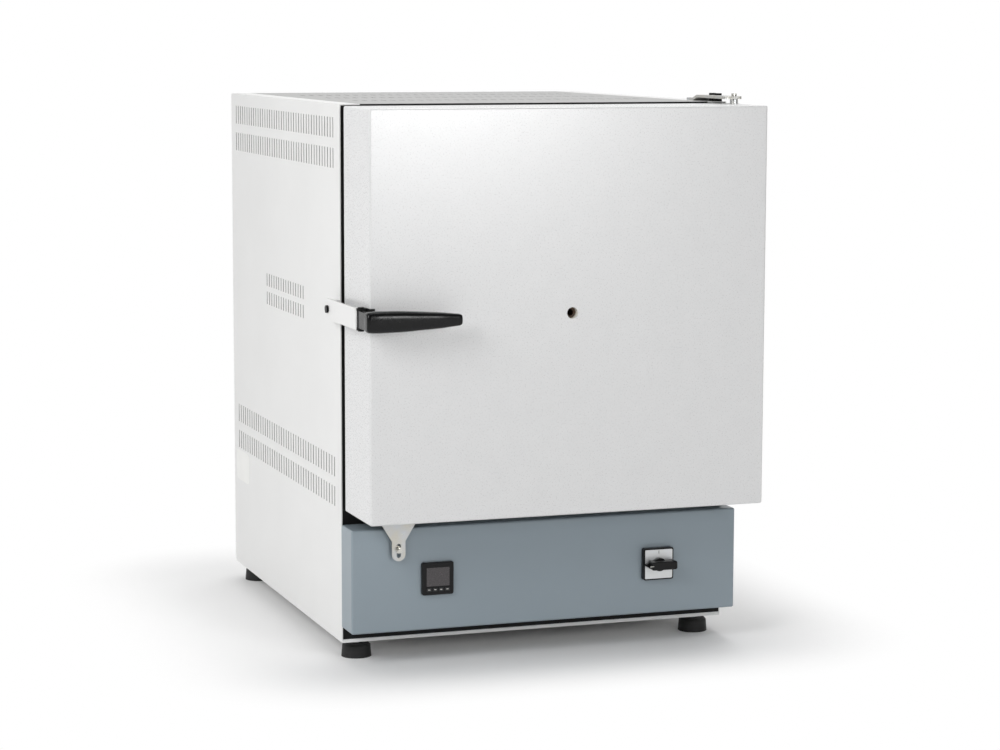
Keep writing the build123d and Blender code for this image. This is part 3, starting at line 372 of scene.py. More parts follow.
@dataclass(frozen=True)
class ZincPlate(Finish):
    """Zinc-plated steel as it leaves the barrel: silver grey with faint blue and straw patches."""

    metallic: float = 1.0
    tone_mm: float = 14.0
    straw: str = "#C9C2AE"
    scratch_mm: float = 0.9

    def sockets(self, tree: Tree) -> dict[str, object]:
        """Return the shader inputs: patchy colour and short rubbed scratches."""
        patch = between(tree, noise(tree, self.tone_mm), 0.0, 0.55)
        scratches = noise(tree, self.scratch_mm, 3.0, (9.0, 9.0, 1.0))
        return {
            "Base Color": tint(tree, patch, self.colour, self.straw),
            "Roughness": between(tree, scratches, self.roughness - 0.08, self.roughness + 0.1),
            "Normal": relief(tree, scratches, 0.01),
        }


@dataclass(frozen=True)
class Moulding(Finish):
    """Injection-moulded plastic with a spark-eroded skin: even colour, fine dull grain."""

    tone_mm: float = 18.0
    gloss_mm: float = 9.0
    grain_mm: float = 1.2
    grain_depth_mm: float = 0.02
    bloom: str = "#5A5A5A"

    def sockets(self, tree: Tree) -> dict[str, object]:
        """Return the shader inputs: even colour, slightly uneven gloss and a fine grain."""
        tone = between(tree, noise(tree, self.tone_mm), 0.0, 0.05)
        return {
            "Base Color": tint(tree, tone, self.colour, self.bloom),
            "Roughness": self.gloss(tree, 0.05),
            "Normal": relief(tree, noise(tree, self.grain_mm), self.grain_depth_mm),
        }


@dataclass(frozen=True)
class FibreBoard(Finish):
    """Vacuum-formed ceramic fibre board: chalk white, dull, felted, with small pits."""

    tone_mm: float = 40.0
    felt_mm: float = 1.6
    pit_mm: float = 7.0
    relief_mm: float = 0.12
    shadow: str = "#CFC9BC"

    def sockets(self, tree: Tree) -> dict[str, object]:
        """Return the shader inputs: cloudy white, felt lying in all directions, and pits."""
        cloud = between(tree, noise(tree, self.tone_mm, 4.0), 0.0, 1.0)
        pits = between(tree, noise(tree, self.pit_mm, 1.0), 0.0, 1.0)
        height = calculate(tree, "ADD", noise(tree, self.felt_mm, 5.0), pits)
        return {
            "Base Color": tint(tree, cloud, self.colour, self.shadow),
            "Roughness": self.roughness,
            "Normal": relief(tree, height, self.relief_mm),
        }


@dataclass(frozen=True)
class FiredCeramic(Finish):
    """Fired alumina: cream, hard and slightly sugary, with faint grey specks."""

    tone_mm: float = 1.8
    skin_mm: float = 1.1

    def sockets(self, tree: Tree) -> dict[str, object]:
        """Return the shader inputs: specks on cream and a sugary skin."""
        speck = between(tree, noise(tree, self.tone_mm), 0.0, 0.35)
        return {
            "Base Color": tint(tree, speck, self.colour, "#A79F90"),
            "Roughness": self.roughness,
            "Normal": relief(tree, noise(tree, self.skin_mm, 3.0), 0.03),
        }


@dataclass(frozen=True)
class OxidisedAlloy(Finish):
    """Resistance wire after firing: a dull grey-brown skin of oxide over the alloy."""

    metallic: float = 0.7
    tone_mm: float = 11.0
    skin_mm: float = 0.8

    def sockets(self, tree: Tree) -> dict[str, object]:
        """Return the shader inputs: brown patches in the grey oxide."""
        patch = between(tree, noise(tree, self.tone_mm, 3.0), 0.0, 1.0)
        return {
            "Base Color": tint(tree, patch, self.colour, "#6E5848"),
            "Roughness": self.roughness,
            "Normal": relief(tree, noise(tree, self.skin_mm), 0.02),
        }


@dataclass(frozen=True)
class SmokedWindow(Finish):
    """Smoked acrylic over a dark display: nearly black, a little red, with a sharp gloss."""

    tone_mm: float = 6.0

    def sockets(self, tree: Tree) -> dict[str, object]:
        """Return the shader inputs: a dark field, barely uneven, under a clear coat."""
        tone = between(tree, noise(tree, self.tone_mm), 0.0, 0.12)
        return {
            "Base Color": tint(tree, tone, self.colour, "#4A4044"),
            "Roughness": self.roughness,
            "Coat Weight": 0.6,
            "Coat Roughness": 0.05,
        }


class Shop(Enum):
    """Every finish on the furnace, by what it is used for."""

    CASING = PowderCoat("satin_powder_coat_light_grey", "#E6E6E5", 0.42)
    COVER = PowderCoat("satin_powder_coat_mid_grey", "#A8A8A7", 0.45)
    DOOR = SilverCoat("textured_silver_powder_coat", "#DEDEDE", 0.30, 0.14)
    PANEL = PowderCoat("smooth_powder_coat_blue_grey", "#8A969E", 0.36, 0.1, peel_depth_mm=0.01)
    FRAME = PowderCoat("matt_black_stove_enamel", "#0B0B0B", 0.55, ior=1.33, mottle=0.0)
    ZINC = ZincPlate("zinc_plated_steel", "#C4C7CB", 0.34)
    BRIGHT = ZincPlate("passivated_steel_pin", "#CDCDC9", 0.24, straw="#C2BCAA")
    BLACKED = ZincPlate("blacked_steel_screw", "#1B1B1D", 0.38, straw="#2A2825")
    BOARD = FibreBoard("ceramic_fibre_board", "#F0EEE8", 0.95)
    ROPE = FibreBoard("woven_fibre_rope", "#E9E5DA", 0.95, felt_mm=0.9, pit_mm=3.0)
    CERAMIC = FiredCeramic("fired_alumina", "#E2DAC8", 0.55)
    WIRE = OxidisedAlloy("oxidised_resistance_wire", "#57504B", 0.62)
    BLACK = Moulding("black_moulded_plastic", "#08080A", 0.34, ior=1.33, bloom="#2A2A2A")
    GRIP = Moulding("black_glossy_phenolic", "#040405", 0.24, ior=1.36, grain_mm=6.0, bloom="#1A1A1A")
    KEY = Moulding("dark_silicone_key", "#232326", 0.6)
    WINDOW = SmokedWindow("smoked_acrylic", "#2A2427", 0.16)
    PALE = Moulding("pale_moulded_plastic", "#D9D8D2", 0.5)
    SINK = ZincPlate("natural_aluminium", "#D3D5D7", 0.4, straw="#CFCFCD")
    RUBBER = Moulding("black_rubber", "#0B0B0B", 0.62, grain_mm=2.0, grain_depth_mm=0.05)
    FOIL = Finish("blank_polyester_label", "#EDEDEA", 0.32)


class FinishShelf:
    """Makes each material once and dresses pieces and frame nodes with it."""

    def __init__(self) -> None:
        """Start with no material made."""
        self._made: dict[Shop, bpy.types.Material] = {}

    def get(self, finish: Shop) -> bpy.types.Material:
        """Return the material of a finish, making it at its first use."""
        if finish not in self._made:
            self._made[finish] = finish.value.material()
        return self._made[finish]

    def dress_vented(self, node: bpy.types.Object, name: str, finish: Shop, axis: int) -> None:
        """Give a vented sheet a finish of its own, with painted shade on the walls of its vents.

        Args:
            node: the sheet.
            name: the sheet's name, for its box and its material.
            finish: the coat on its faces.
            axis: the axis that its broad face is square to.
        """
        coat = finish.value
        low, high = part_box(name)
        box = {"low": tuple(low), "high": tuple(high)}
        vent_shaded = VentShadeSheet(f"{coat.name}_{name}", coat.colour, coat.roughness, axis=axis, **box)
        node.data.materials.clear()
        node.data.materials.append(vent_shaded.material())
        LOG.info("dressed %s with %s and painted shade on vent walls", name, coat.name)

    def dress(self, nodes: dict[str, bpy.types.Object], finish: Shop, *names: str) -> None:
        """Give frame nodes a finish.

        Args:
            nodes: the frame's nodes by name.
            finish: the finish to give.
            names: the nodes that take it.
        """
        for name in names:
            slots = nodes[name].data.materials
            for index in range(len(slots)):
                slots[index] = self.get(finish)
            if not slots:
                slots.append(self.get(finish))
            LOG.info("dressed %s with %s", name, finish.value.name)


# Surfaces


@dataclass(frozen=True)
class Patch:
    """A grid of points, and whether its rows or its columns close on themselves."""

    points: np.ndarray
    ring_rows: bool = False
    ring_columns: bool = False

    def quads(self) -> np.ndarray:
        """Return the corner numbers of each face, a row per quad.

        A quad joins point (i, j) with (i, j + 1), (i + 1, j + 1) and (i + 1, j), where both
        indices run on past the end only if the grid closes that way.
        """
        rows, columns = self.points.shape[:2]
        i = np.arange(rows if self.ring_rows else rows - 1)
        j = np.arange(columns if self.ring_columns else columns - 1)
        i, j = (axis.ravel() for axis in np.meshgrid(i, j, indexing="ij"))
        below, right = (i + 1) % rows, (j + 1) % columns
        corners = (i * columns + j, i * columns + right, below * columns + right, below * columns + j)
        return np.stack(corners, axis=1)


def make_piece(name: str, patches: Sequence[Patch], material: bpy.types.Material) -> bpy.types.Object:
    """Join patches into one object, with doubled points merged and all faces pointing outwards.

    Args:
        name: the piece's name.
        patches: its surfaces, in metres.
        material: its finish.

    Returns:
        The linked object, at the origin.
    """
    counts = np.cumsum([0] + [patch.points.shape[0] * patch.points.shape[1] for patch in patches])
    points = np.concatenate([patch.points.reshape(-1, 3) for patch in patches])
    quads = np.concatenate([patch.quads() + start for patch, start in zip(patches, counts)])
    mesh = bpy.data.meshes.new(name)
    mesh.vertices.add(len(points))
    mesh.vertices.foreach_set("co", points.astype(np.float32).ravel())
    mesh.loops.add(quads.size)
    mesh.loops.foreach_set("vertex_index", quads.astype(np.int32).ravel())
    mesh.polygons.add(len(quads))
    mesh.polygons.foreach_set("loop_start", np.arange(0, quads.size, 4, dtype=np.int32))
    mesh.update(calc_edges=True)
    shell = bmesh.new()
    shell.from_mesh(mesh)
    bmesh.ops.remove_doubles(shell, verts=shell.verts, dist=MERGE_M)
    bmesh.ops.dissolve_degenerate(shell, edges=shell.edges, dist=SLIVER_M)
    bmesh.ops.recalc_face_normals(shell, faces=shell.faces)
    shell.to_mesh(mesh)
    shell.free()
    mesh.materials.append(material)
    mesh.validate()
    piece = bpy.data.objects.new(name, mesh)
    bpy.context.scene.collection.objects.link(piece)
    mesh.polygons.foreach_set("use_smooth", np.ones(len(mesh.polygons), dtype=bool))
    mesh.set_sharp_from_angle(angle=math.radians(SHARP_DEGREES))
    return piece


def capped(rings: np.ndarray) -> Patch:
    """Close a row of rings with a pole in the middle of its first and its last ring.

    Args:
        rings: one ring of points per row.

    Returns:
        The closed surface.
    """
    poles = rings[[0, -1]].mean(axis=1, keepdims=True)
    first, last = (np.repeat(pole[None], rings.shape[1], axis=1) for pole in poles)
    return Patch(np.concatenate([first, rings, last]), ring_columns=True)


def superellipse(count: int, power: float) -> tuple[np.ndarray, np.ndarray]:
    """Return points of the curve |u|^n + |v|^n = 1, where n is the power.

    They are u = sign(cos t) |cos t|^(2 / n) and v = sign(sin t) |sin t|^(2 / n).

    Args:
        count: the number of points.
        power: two gives a circle, and more a rounder square.

    Returns:
        The values of u and those of v.
    """
    turn = np.linspace(0, 2 * np.pi, count, endpoint=False)
    u, v = (np.sign(wave) * np.abs(wave) ** (2 / power) for wave in (np.cos(turn), np.sin(turn)))
    return u, v


def rounded_route(corners: np.ndarray, radius: float, step: float) -> np.ndarray:
    """Sample a route of straight runs whose corners are replaced by arcs of one radius.

    For a corner that turns by an angle a, the arc starts radius x tan(a / 2) before it. A point
    of the arc is the corner moved towards the arc's centre, which lies radius / cos(a / 2) away.

    Args:
        corners: the route's corner points.
        radius: the radius of each arc.
        step: the spacing of the samples.

    Returns:
        Evenly spaced points along the rounded route.
    """
    pieces = [corners[:1]]
    for before, corner, after in zip(corners[:-2], corners[1:-1], corners[2:]):
        come = (corner - before) / np.linalg.norm(corner - before)
        leave = (after - corner) / np.linalg.norm(after - corner)
        turn = math.acos(float(np.clip(come @ leave, -1, 1)))
        bisector = (leave - come) / np.linalg.norm(leave - come)
        centre = corner + bisector * radius / math.cos(turn / 2)
        sweep = np.linspace(-turn / 2, turn / 2, ARC_POINTS)[:, None]
        middle, across = -bisector, (come + leave) / np.linalg.norm(come + leave)
        pieces.append(centre + radius * (np.cos(sweep) * middle + np.sin(sweep) * across))
    route = np.concatenate(pieces + [corners[-1:]])
    run = np.concatenate([[0], np.cumsum(np.linalg.norm(np.diff(route, axis=0), axis=1))])
    even = np.linspace(0, run[-1], max(int(run[-1] / step), 2))
    return np.stack([np.interp(even, run, route[:, k]) for k in range(3)], axis=1)


def smooth_between(x: np.ndarray, stations: Sequence[float], values: Sequence[float]) -> np.ndarray:
    """Return values between stations on a smooth curve.

    It is linear interpolation averaged over a short window, (f(x - w) + 2 f(x) + f(x + w)) / 4
    taken at each of two widths w, so that corners at the stations are rounded.

    Args:
        x: where to evaluate, from 0 to 1.
        stations: where the values are given, rising.
        values: the values at the stations.

    Returns:
        One smoothed value for each x.
    """
    result = np.zeros_like(x)
    for width in SMOOTHING_WIDTHS:
        parts = [np.interp(np.clip(x + k * width, 0, 1), stations, values) for k in (-1, 0, 0, 1)]
        result += np.mean(parts, axis=0) / 2
    return result


def place(piece: bpy.types.Object, body: str, slot: str, *replaced: str) -> bpy.types.Object:
    """Let a piece ride on a body, hide the frame nodes that it stands for, and log it.

    Args:
        piece: the finished piece.
        body: the body it moves with.
        slot: the name of the record's material slot for the piece; not used.
        replaced: the frame nodes that it stands for.

    Returns:
        The same piece.
    """
    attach(piece, body)
    if replaced:
        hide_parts(*replaced)
    LOG.info("made %s: %d faces, rides on %s", piece.name, len(piece.data.polygons), body)
    return piece


# Sub-assemblies


@dataclass
class Casing:
    """Outer sheets, feet and rear fittings, and a blank label on the left side."""

    shelf: FinishShelf
    nodes: dict[str, bpy.types.Object]
    label_width_mm: float = 83.0
    label_height_mm: float = 50.0
    label_from_back_mm: float = 16.0
    label_middle_mm: float = 196.0
    label_thickness_mm: float = 0.25
    label_points: int = 64
    label_power: int = 8

    def build(self) -> None:
        """Dress the sheets and the fittings, and make the label."""
        self.shelf.dress(self.nodes, Shop.CASING, "base_tray")
        # The vented sheets get painted shade on the walls of their vents.
        for name, finish, axis in (
            ("left_side_panel", Shop.CASING, 0),
            ("right_side_panel", Shop.CASING, 0),
            ("rear_panel", Shop.CASING, 1),
            ("top_cover", Shop.COVER, 2),
        ):
            self.shelf.dress_vented(self.nodes[name], name, finish, axis)
        self.shelf.dress(self.nodes, Shop.FRAME, "front_frame")
        self.shelf.dress(
            self.nodes, Shop.ZINC, "divider_plate", "inner_casing", "exhaust_spigot", "feet_studs"
        )
        self.shelf.dress(self.nodes, Shop.RUBBER, "feet_pads")
        self.shelf.dress(self.nodes, Shop.BLACK, "cable_gland")
        self.label()

    def label(self) -> bpy.types.Object:
        """Make the blank label: a thin sheet with rounded corners, low at the back.

        Its outline is a superellipse, (|y| / a)^n + (|z| / b)^n = 1 with the label's power n, and
        four copies of it at the sheet's two faces close it: centre, edge, edge, centre.
        """
        low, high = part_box("left_side_panel")
        u, v = superellipse(self.label_points, self.label_power)
        along, up = u * self.label_width_mm / 2, v * self.label_height_mm / 2
        middle = (high.y / MM - self.label_from_back_mm - self.label_width_mm / 2, self.label_middle_mm)
        rings = []
        for share, lift in ((0, 0.0), (1, 0.0), (1, 1.0), (0, 1.0)):
            x = np.full_like(u, low.x / MM - lift * self.label_thickness_mm)
            rings.append(np.stack([x, middle[0] + share * along, middle[1] + share * up], axis=1))
        patch = Patch(np.array(rings) * MM, ring_columns=True)
        piece = make_piece("blank_label", [patch], self.shelf.get(Shop.FOIL))
        return place(piece, "cabinet", "white_plastic")


@dataclass
class Chamber:
    """Lined chamber with wound heating coils in the grooves of its side boards."""

    shelf: FinishShelf
    nodes: dict[str, bpy.types.Object]
    rows: int = 6
    winding_pitch_mm: float = 5.2
    wire_radius_mm: float = 1.1
    corner_radius_mm: float = 7.0
    rear_clear_mm: float = 26.5
    points_per_turn: int = 12
    wire_segments: int = 5

    def build(self) -> None:
        """Dress the lining and wind both coils."""
        boards = ("floor", "roof", "left", "right", "back")
        self.shelf.dress(self.nodes, Shop.BOARD, *(f"chamber_{board}" for board in boards))
        self.shelf.dress(self.nodes, Shop.BOARD, "backup_blanket", "backup_rear")
        self.shelf.dress(self.nodes, Shop.CERAMIC, "hearth_plate", "thermocouple", "exhaust_tube")
        self.coil("heater_left")
        self.coil("heater_right")

    def coil(self, node: str) -> bpy.types.Object:
        """Wind a coil along the groove that a frame node shows as a round bar.

        The middle line goes to and fro in rows and up one row at each end. The wire's own middle
        is at middle + r (cos p x + sin p b), where r is the coil's radius, p turns once in each
        winding pitch, x is across the board and b is square to x and to the middle line.

        Args:
            node: the bar that the coil replaces.
        """
        low, high = (np.array(corner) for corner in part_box(node))
        radius = (high[0] - low[0]) / 2
        x = (low[0] + high[0]) / 2
        heights = np.linspace(low[2] + radius, high[2] - radius, self.rows)
        board_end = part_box("chamber_left")[1][1]
        front, rear = low[1] + radius, board_end - self.rear_clear_mm * MM
        corners = [(x, high[1], heights[0])]
        for row, z in enumerate(heights):
            ends = (front, rear) if row % 2 else (rear, front)
            corners += [(x, y, z) for y in ends]
        corners = [corners[0]] + corners[2:-1] + [(x, high[1], heights[-1])]
        step = self.winding_pitch_mm * MM / self.points_per_turn
        middle = rounded_route(np.array(corners), self.corner_radius_mm * MM, step)
        tangent = np.gradient(middle, axis=0)
        tangent /= np.linalg.norm(tangent, axis=1, keepdims=True)
        across = np.array([1.0, 0.0, 0.0])
        phase = 2 * np.pi * np.arange(len(middle)) / self.points_per_turn
        out = np.cos(phase)[:, None] * across + np.sin(phase)[:, None] * np.cross(tangent, across)
        wire = middle + (radius - self.wire_radius_mm * MM) * out
        name = node.replace("heater", "wound_coil")
        piece = make_piece(name, [self.wire(wire, out)], self.shelf.get(Shop.WIRE))
        return place(piece, "cabinet", "heating_alloy", node)

    def wire(self, line: np.ndarray, out: np.ndarray) -> Patch:
        """Carry the wire's round section along its line, framed by the coil's own radius.

        Args:
            line: the wire's middle line.
            out: the unit vector from the coil's middle line to each point.

        Returns:
            The wire's surface, closed at both ends.
        """
        tangent = np.gradient(line, axis=0)
        side = np.cross(tangent, out)
        side /= np.linalg.norm(side, axis=1, keepdims=True)
        turn = np.linspace(0, 2 * np.pi, self.wire_segments, endpoint=False)[None, :, None]
        ring = np.cos(turn) * out[:, None] + np.sin(turn) * side[:, None]
        return capped(line[:, None] + self.wire_radius_mm * MM * ring)


@dataclass
class Door:
    """Door pan with its hinges and tongue, the plug, and a braided rope seal."""

    shelf: FinishShelf
    nodes: dict[str, bpy.types.Object]
    strands: int = 6
    strand_pitch_mm: float = 44.0
    strand_depth: float = 0.09
    rope_step_mm: float = 3.0
    rope_segments: int = 40
    rope_corner_mm: float = 14.0

    def build(self) -> None:
        """Dress the door's nodes and lay the rope."""
        self.shelf.dress(self.nodes, Shop.DOOR, "door_shell")
        self.shelf.dress(self.nodes, Shop.ZINC, "door_back_plate", "door_hinge_blocks", "limit_tongue")
        self.shelf.dress(self.nodes, Shop.ZINC, "top_hinge_bracket", "bottom_hinge_bracket")
        self.shelf.dress(self.nodes, Shop.BRIGHT, "hinge_pins", "tongue_screws")
        self.shelf.dress(self.nodes, Shop.BLACKED, "hinge_screws")
        self.shelf.dress(self.nodes, Shop.BOARD, "door_insulation", "door_plug")
        # The peep tube's dark oxidised finish is partly the tube's own oxide and partly painted shade
        # that keeps the peephole dark.
        self.shelf.dress(self.nodes, Shop.WIRE, "peep_tube")
        self.rope()

    def rope(self) -> bpy.types.Object:
        """Lay the braided rope in a rounded rectangle round the plug.

        Its section is an ellipse that swells over each strand by the larger of two waves,
        |sin(n t / 2 + p)| and |sin(n t / 2 - p)|, where t goes round the section, n is the number
        of strands and p goes round once in each strand pitch; so the strands cross like a braid.
        """
        low, high = (np.array(corner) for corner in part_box("door_seal"))
        plug_low, plug_high = (np.array(corner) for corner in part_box("door_plug"))
        half_width = (plug_low[0] - low[0]) / 2
        half_depth = (high[1] - low[1]) / 2
        y = (low[1] + high[1]) / 2
        x0, x1 = low[0] + half_width, high[0] - half_width
        z0, z1 = low[2] + half_width, high[2] - half_width
        start = np.array([(x0 + x1) / 2, y, z0])
        route = np.array([start, (x1, y, z0), (x1, y, z1), (x0, y, z1), (x0, y, z0), start])
        line = rounded_route(route, self.rope_corner_mm * MM, self.rope_step_mm * MM)[:-1]
        tangent = np.roll(line, -1, 0) - np.roll(line, 1, 0)
        tangent /= np.linalg.norm(tangent, axis=1, keepdims=True)
        depth = np.array([0.0, 1.0, 0.0])
        width = np.cross(tangent, depth)
        turns = round(len(line) * self.rope_step_mm / self.strand_pitch_mm)
        phase = 2 * np.pi * turns * np.arange(len(line)) / len(line)
        angle = np.linspace(0, 2 * np.pi, self.rope_segments, endpoint=False)
        half = self.strands / 2 * angle[None, :]
        waves = np.maximum(np.abs(np.sin(half + phase[:, None])), np.abs(np.sin(half - phase[:, None])))
        swell = (1 - self.strand_depth + self.strand_depth * waves)[:, :, None]
        ring = half_width * np.cos(angle)[None, :, None] * width[:, None]
        ring = ring + half_depth * np.sin(angle)[None, :, None] * depth
        patch = Patch(line[:, None] + swell * ring, ring_rows=True, ring_columns=True)
        piece = make_piece("braided_rope_seal", [patch], self.shelf.get(Shop.ROPE))
        return place(piece, "door", "fibre_rope", "door_seal")


@dataclass
class Latch:
    """Keeper on the casing, bracket on the door, and the lever with its glossy grip."""

    shelf: FinishShelf
    nodes: dict[str, bpy.types.Object]
    roundness: float = 3.4
    end_round: float = 0.035
    end_size: float = 0.72
    stations: int = 72
    segments: int = 56
    shares: tuple[float, ...] = (0.0, 0.1, 0.36, 0.79, 1.0)
    heights: tuple[float, ...] = (0.918, 1.0, 0.967, 0.721, 0.505)
    depths: tuple[float, ...] = (0.909, 1.0, 1.0, 0.818, 0.59)

    def build(self) -> None:
        """Dress the latch's nodes and mould the grip."""
        self.shelf.dress(self.nodes, Shop.CASING, "keeper_strip", "keeper_spacer")
        self.shelf.dress(self.nodes, Shop.BLACKED, "keeper_screw", "latch_pin")
        self.shelf.dress(self.nodes, Shop.FRAME, "latch_bracket")
        self.shelf.dress(self.nodes, Shop.GRIP, "latch_lever")
        self.grip()

    def grip(self) -> bpy.types.Object:
        """Mould the grip as a row of superellipses, widest near the root and slim at the end.

        At share s of its length the section is |y / b(s)|^n + |z / a(s)|^n = 1. Close to each end
        both half axes are drawn in to the end's size along the curve sqrt(1 - (1 - s / e)^2).
        """
        low, high = (np.array(corner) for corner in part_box("latch_grip"))
        share = (1 - np.cos(np.linspace(0, np.pi, self.stations))) / 2
        tall = smooth_between(share, self.shares, self.heights) * (high[2] - low[2]) / 2
        deep = smooth_between(share, self.shares, self.depths) * (high[1] - low[1]) / 2
        gap = np.minimum(share, 1 - share) / self.end_round
        curve = np.sqrt(1 - np.clip(1 - gap, 0, 1) ** 2)
        cap = self.end_size + (1 - self.end_size) * curve
        y, z = superellipse(self.segments, self.roundness)
        middle = (low + high) / 2
        points = np.empty((self.stations, self.segments, 3))
        points[:, :, 0] = (low[0] + share * (high[0] - low[0]))[:, None]
        points[:, :, 1] = middle[1] + (cap * deep)[:, None] * y
        points[:, :, 2] = middle[2] + (cap * tall)[:, None] * z
        piece = make_piece("moulded_grip", [capped(points)], self.shelf.get(Shop.GRIP))
        return place(piece, "lever", "grip_plastic", "latch_grip")


@dataclass
class ControlBox:
    """Blue-grey pan with the controller, the rotary switch, and what lies behind them."""

    shelf: FinishShelf
    nodes: dict[str, bpy.types.Object]
    stroke_mm: float = 0.9
    mark_mm: float = 4.6
    mark_thickness_mm: float = 0.08
    pointer_mm: float = 6.0
    pointer_inset_mm: float = 6.0
    ring_slimness: float = 0.7
    ring_points: int = 32
    edge_gap: float = 1.6
    key_mark_share: tuple[float, float] = (0.22, 0.09)

    def build(self) -> None:
        """Dress the nodes and print the marks on switch, knob and keys."""
        self.shelf.dress(self.nodes, Shop.PANEL, "control_cover")
        self.shelf.dress(
            self.nodes, Shop.BLACK, "controller_case", "switch_base", "switch_knob", "switch_body",
            "limit_switch", "solid_state_relay",
        )
        self.shelf.dress(self.nodes, Shop.WINDOW, "controller_window")
        self.shelf.dress(self.nodes, Shop.SINK, "switch_plate", "relay_heatsink")
        self.shelf.dress(self.nodes, Shop.BRIGHT, "limit_plunger")
        self.shelf.dress(self.nodes, Shop.PALE, "terminal_block")
        keys = sorted(name for name in self.nodes if name.startswith("controller_key"))
        self.shelf.dress(self.nodes, Shop.KEY, *keys)
        self.switch_marks()
        self.knob_mark()
        for key in keys:
            self.key_mark(key)

    def switch_marks(self) -> bpy.types.Object:
        """Print the on stroke at the top of the switch plate and the off ring at its left.

        The stroke is an upright bar; the ring lies between two ellipses of one middle.
        """
        low, high = (np.array(corner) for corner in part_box("switch_plate"))
        middle = (low + high) / 2
        turn = np.linspace(0, 2 * np.pi, self.ring_points, endpoint=False)
        circle = np.stack([np.cos(turn), np.sin(turn)], axis=1)
        stroke, mark = self.stroke_mm * MM / 2, self.mark_mm * MM / 2
        reach = (high[2] - low[2]) / 2 - self.edge_gap * mark
        half_axes = np.array([mark * self.ring_slimness, mark])
        inner, outer = circle * (half_axes - stroke), circle * (half_axes + stroke)
        patches = [
            self.lifted(*self.bar(stroke, mark), (middle[0], low[1], middle[2] + reach)),
            self.lifted(inner, outer, (middle[0] - reach, low[1], middle[2])),
        ]
        piece = make_piece("switch_marks", patches, self.shelf.get(Shop.BLACK))
        return place(piece, "cabinet", "black_plastic")

    def knob_mark(self) -> bpy.types.Object:
        """Print the pale pointer on the knob's handle, at the end that points to the marks."""
        low, high = (np.array(corner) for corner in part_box("switch_knob"))
        at = (low[0] + self.pointer_inset_mm * MM, low[1], (low[2] + high[2]) / 2)
        shape = self.bar(self.pointer_mm * MM / 2, self.stroke_mm * MM / 2)
        piece = make_piece("knob_mark", [self.lifted(*shape, at)], self.shelf.get(Shop.PALE))
        return place(piece, "knob", "white_plastic")

    def key_mark(self, key: str) -> bpy.types.Object:
        """Print a small pale bar on one key.

        Args:
            key: the key's name.
        """
        low, high = (np.array(corner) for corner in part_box(key))
        at = ((low[0] + high[0]) / 2, low[1], (low[2] + high[2]) / 2)
        wide, tall = self.key_mark_share
        shape = self.bar((high[0] - low[0]) * wide, (high[2] - low[2]) * tall)
        name = key.replace("controller_key", "key_mark")
        piece = make_piece(name, [self.lifted(*shape, at)], self.shelf.get(Shop.PALE))
        return place(piece, key.replace("controller_", ""), "white_plastic")

    def bar(self, half_width: float, half_height: float) -> tuple[np.ndarray, np.ndarray]:
        """Return a bar's outline and a zero-sized one in its middle, in metres."""
        corners = [(-1, -1), (1, -1), (1, 1), (-1, 1)]
        outline = np.array(corners) * np.array([half_width, half_height])
        return 0 * outline, outline

    def lifted(self, inner: np.ndarray, outer: np.ndarray, at: Sequence[float]) -> Patch:
        """Lift the area between two outlines off a front face by a mark's thickness.

        Args:
            inner: the inner outline, rows of x and z in metres.
            outer: the outer outline, with as many rows.
            at: where the outlines' origin lies on the face.
        """
        rows = []
        for outline, lift in ((inner, 0.0), (inner, 1.0), (outer, 1.0), (outer, 0.0)):
            y = np.full(len(outline), at[1] - lift * self.mark_thickness_mm * MM)
            rows.append(np.stack([at[0] + outline[:, 0], y, at[2] + outline[:, 1]], axis=1))
        return Patch(np.array(rows), ring_rows=True, ring_columns=True)


# Studio


@dataclass
class Softbox:
    """A rectangular lamp with a diffuser."""

    name: str
    place_m: tuple[float, float, float]
    aim_m: tuple[float, float, float]
    width_m: float
    height_m: float
    watts: float

    def build(self) -> bpy.types.Object:
        """Hang the lamp and turn it towards its aim."""
        lamp = bpy.data.lights.new(self.name, "AREA")
        lamp.shape = "RECTANGLE"
        lamp.size, lamp.size_y = self.width_m, self.height_m
        lamp.energy = self.watts
        holder = bpy.data.objects.new(self.name, lamp)
        bpy.context.scene.collection.objects.link(holder)
        direction = Vector(self.aim_m) - Vector(self.place_m)
        holder.matrix_world = (
            Matrix.Translation(self.place_m) @ direction.to_track_quat("-Z", "Y").to_matrix().to_4x4()
        )
        return holder


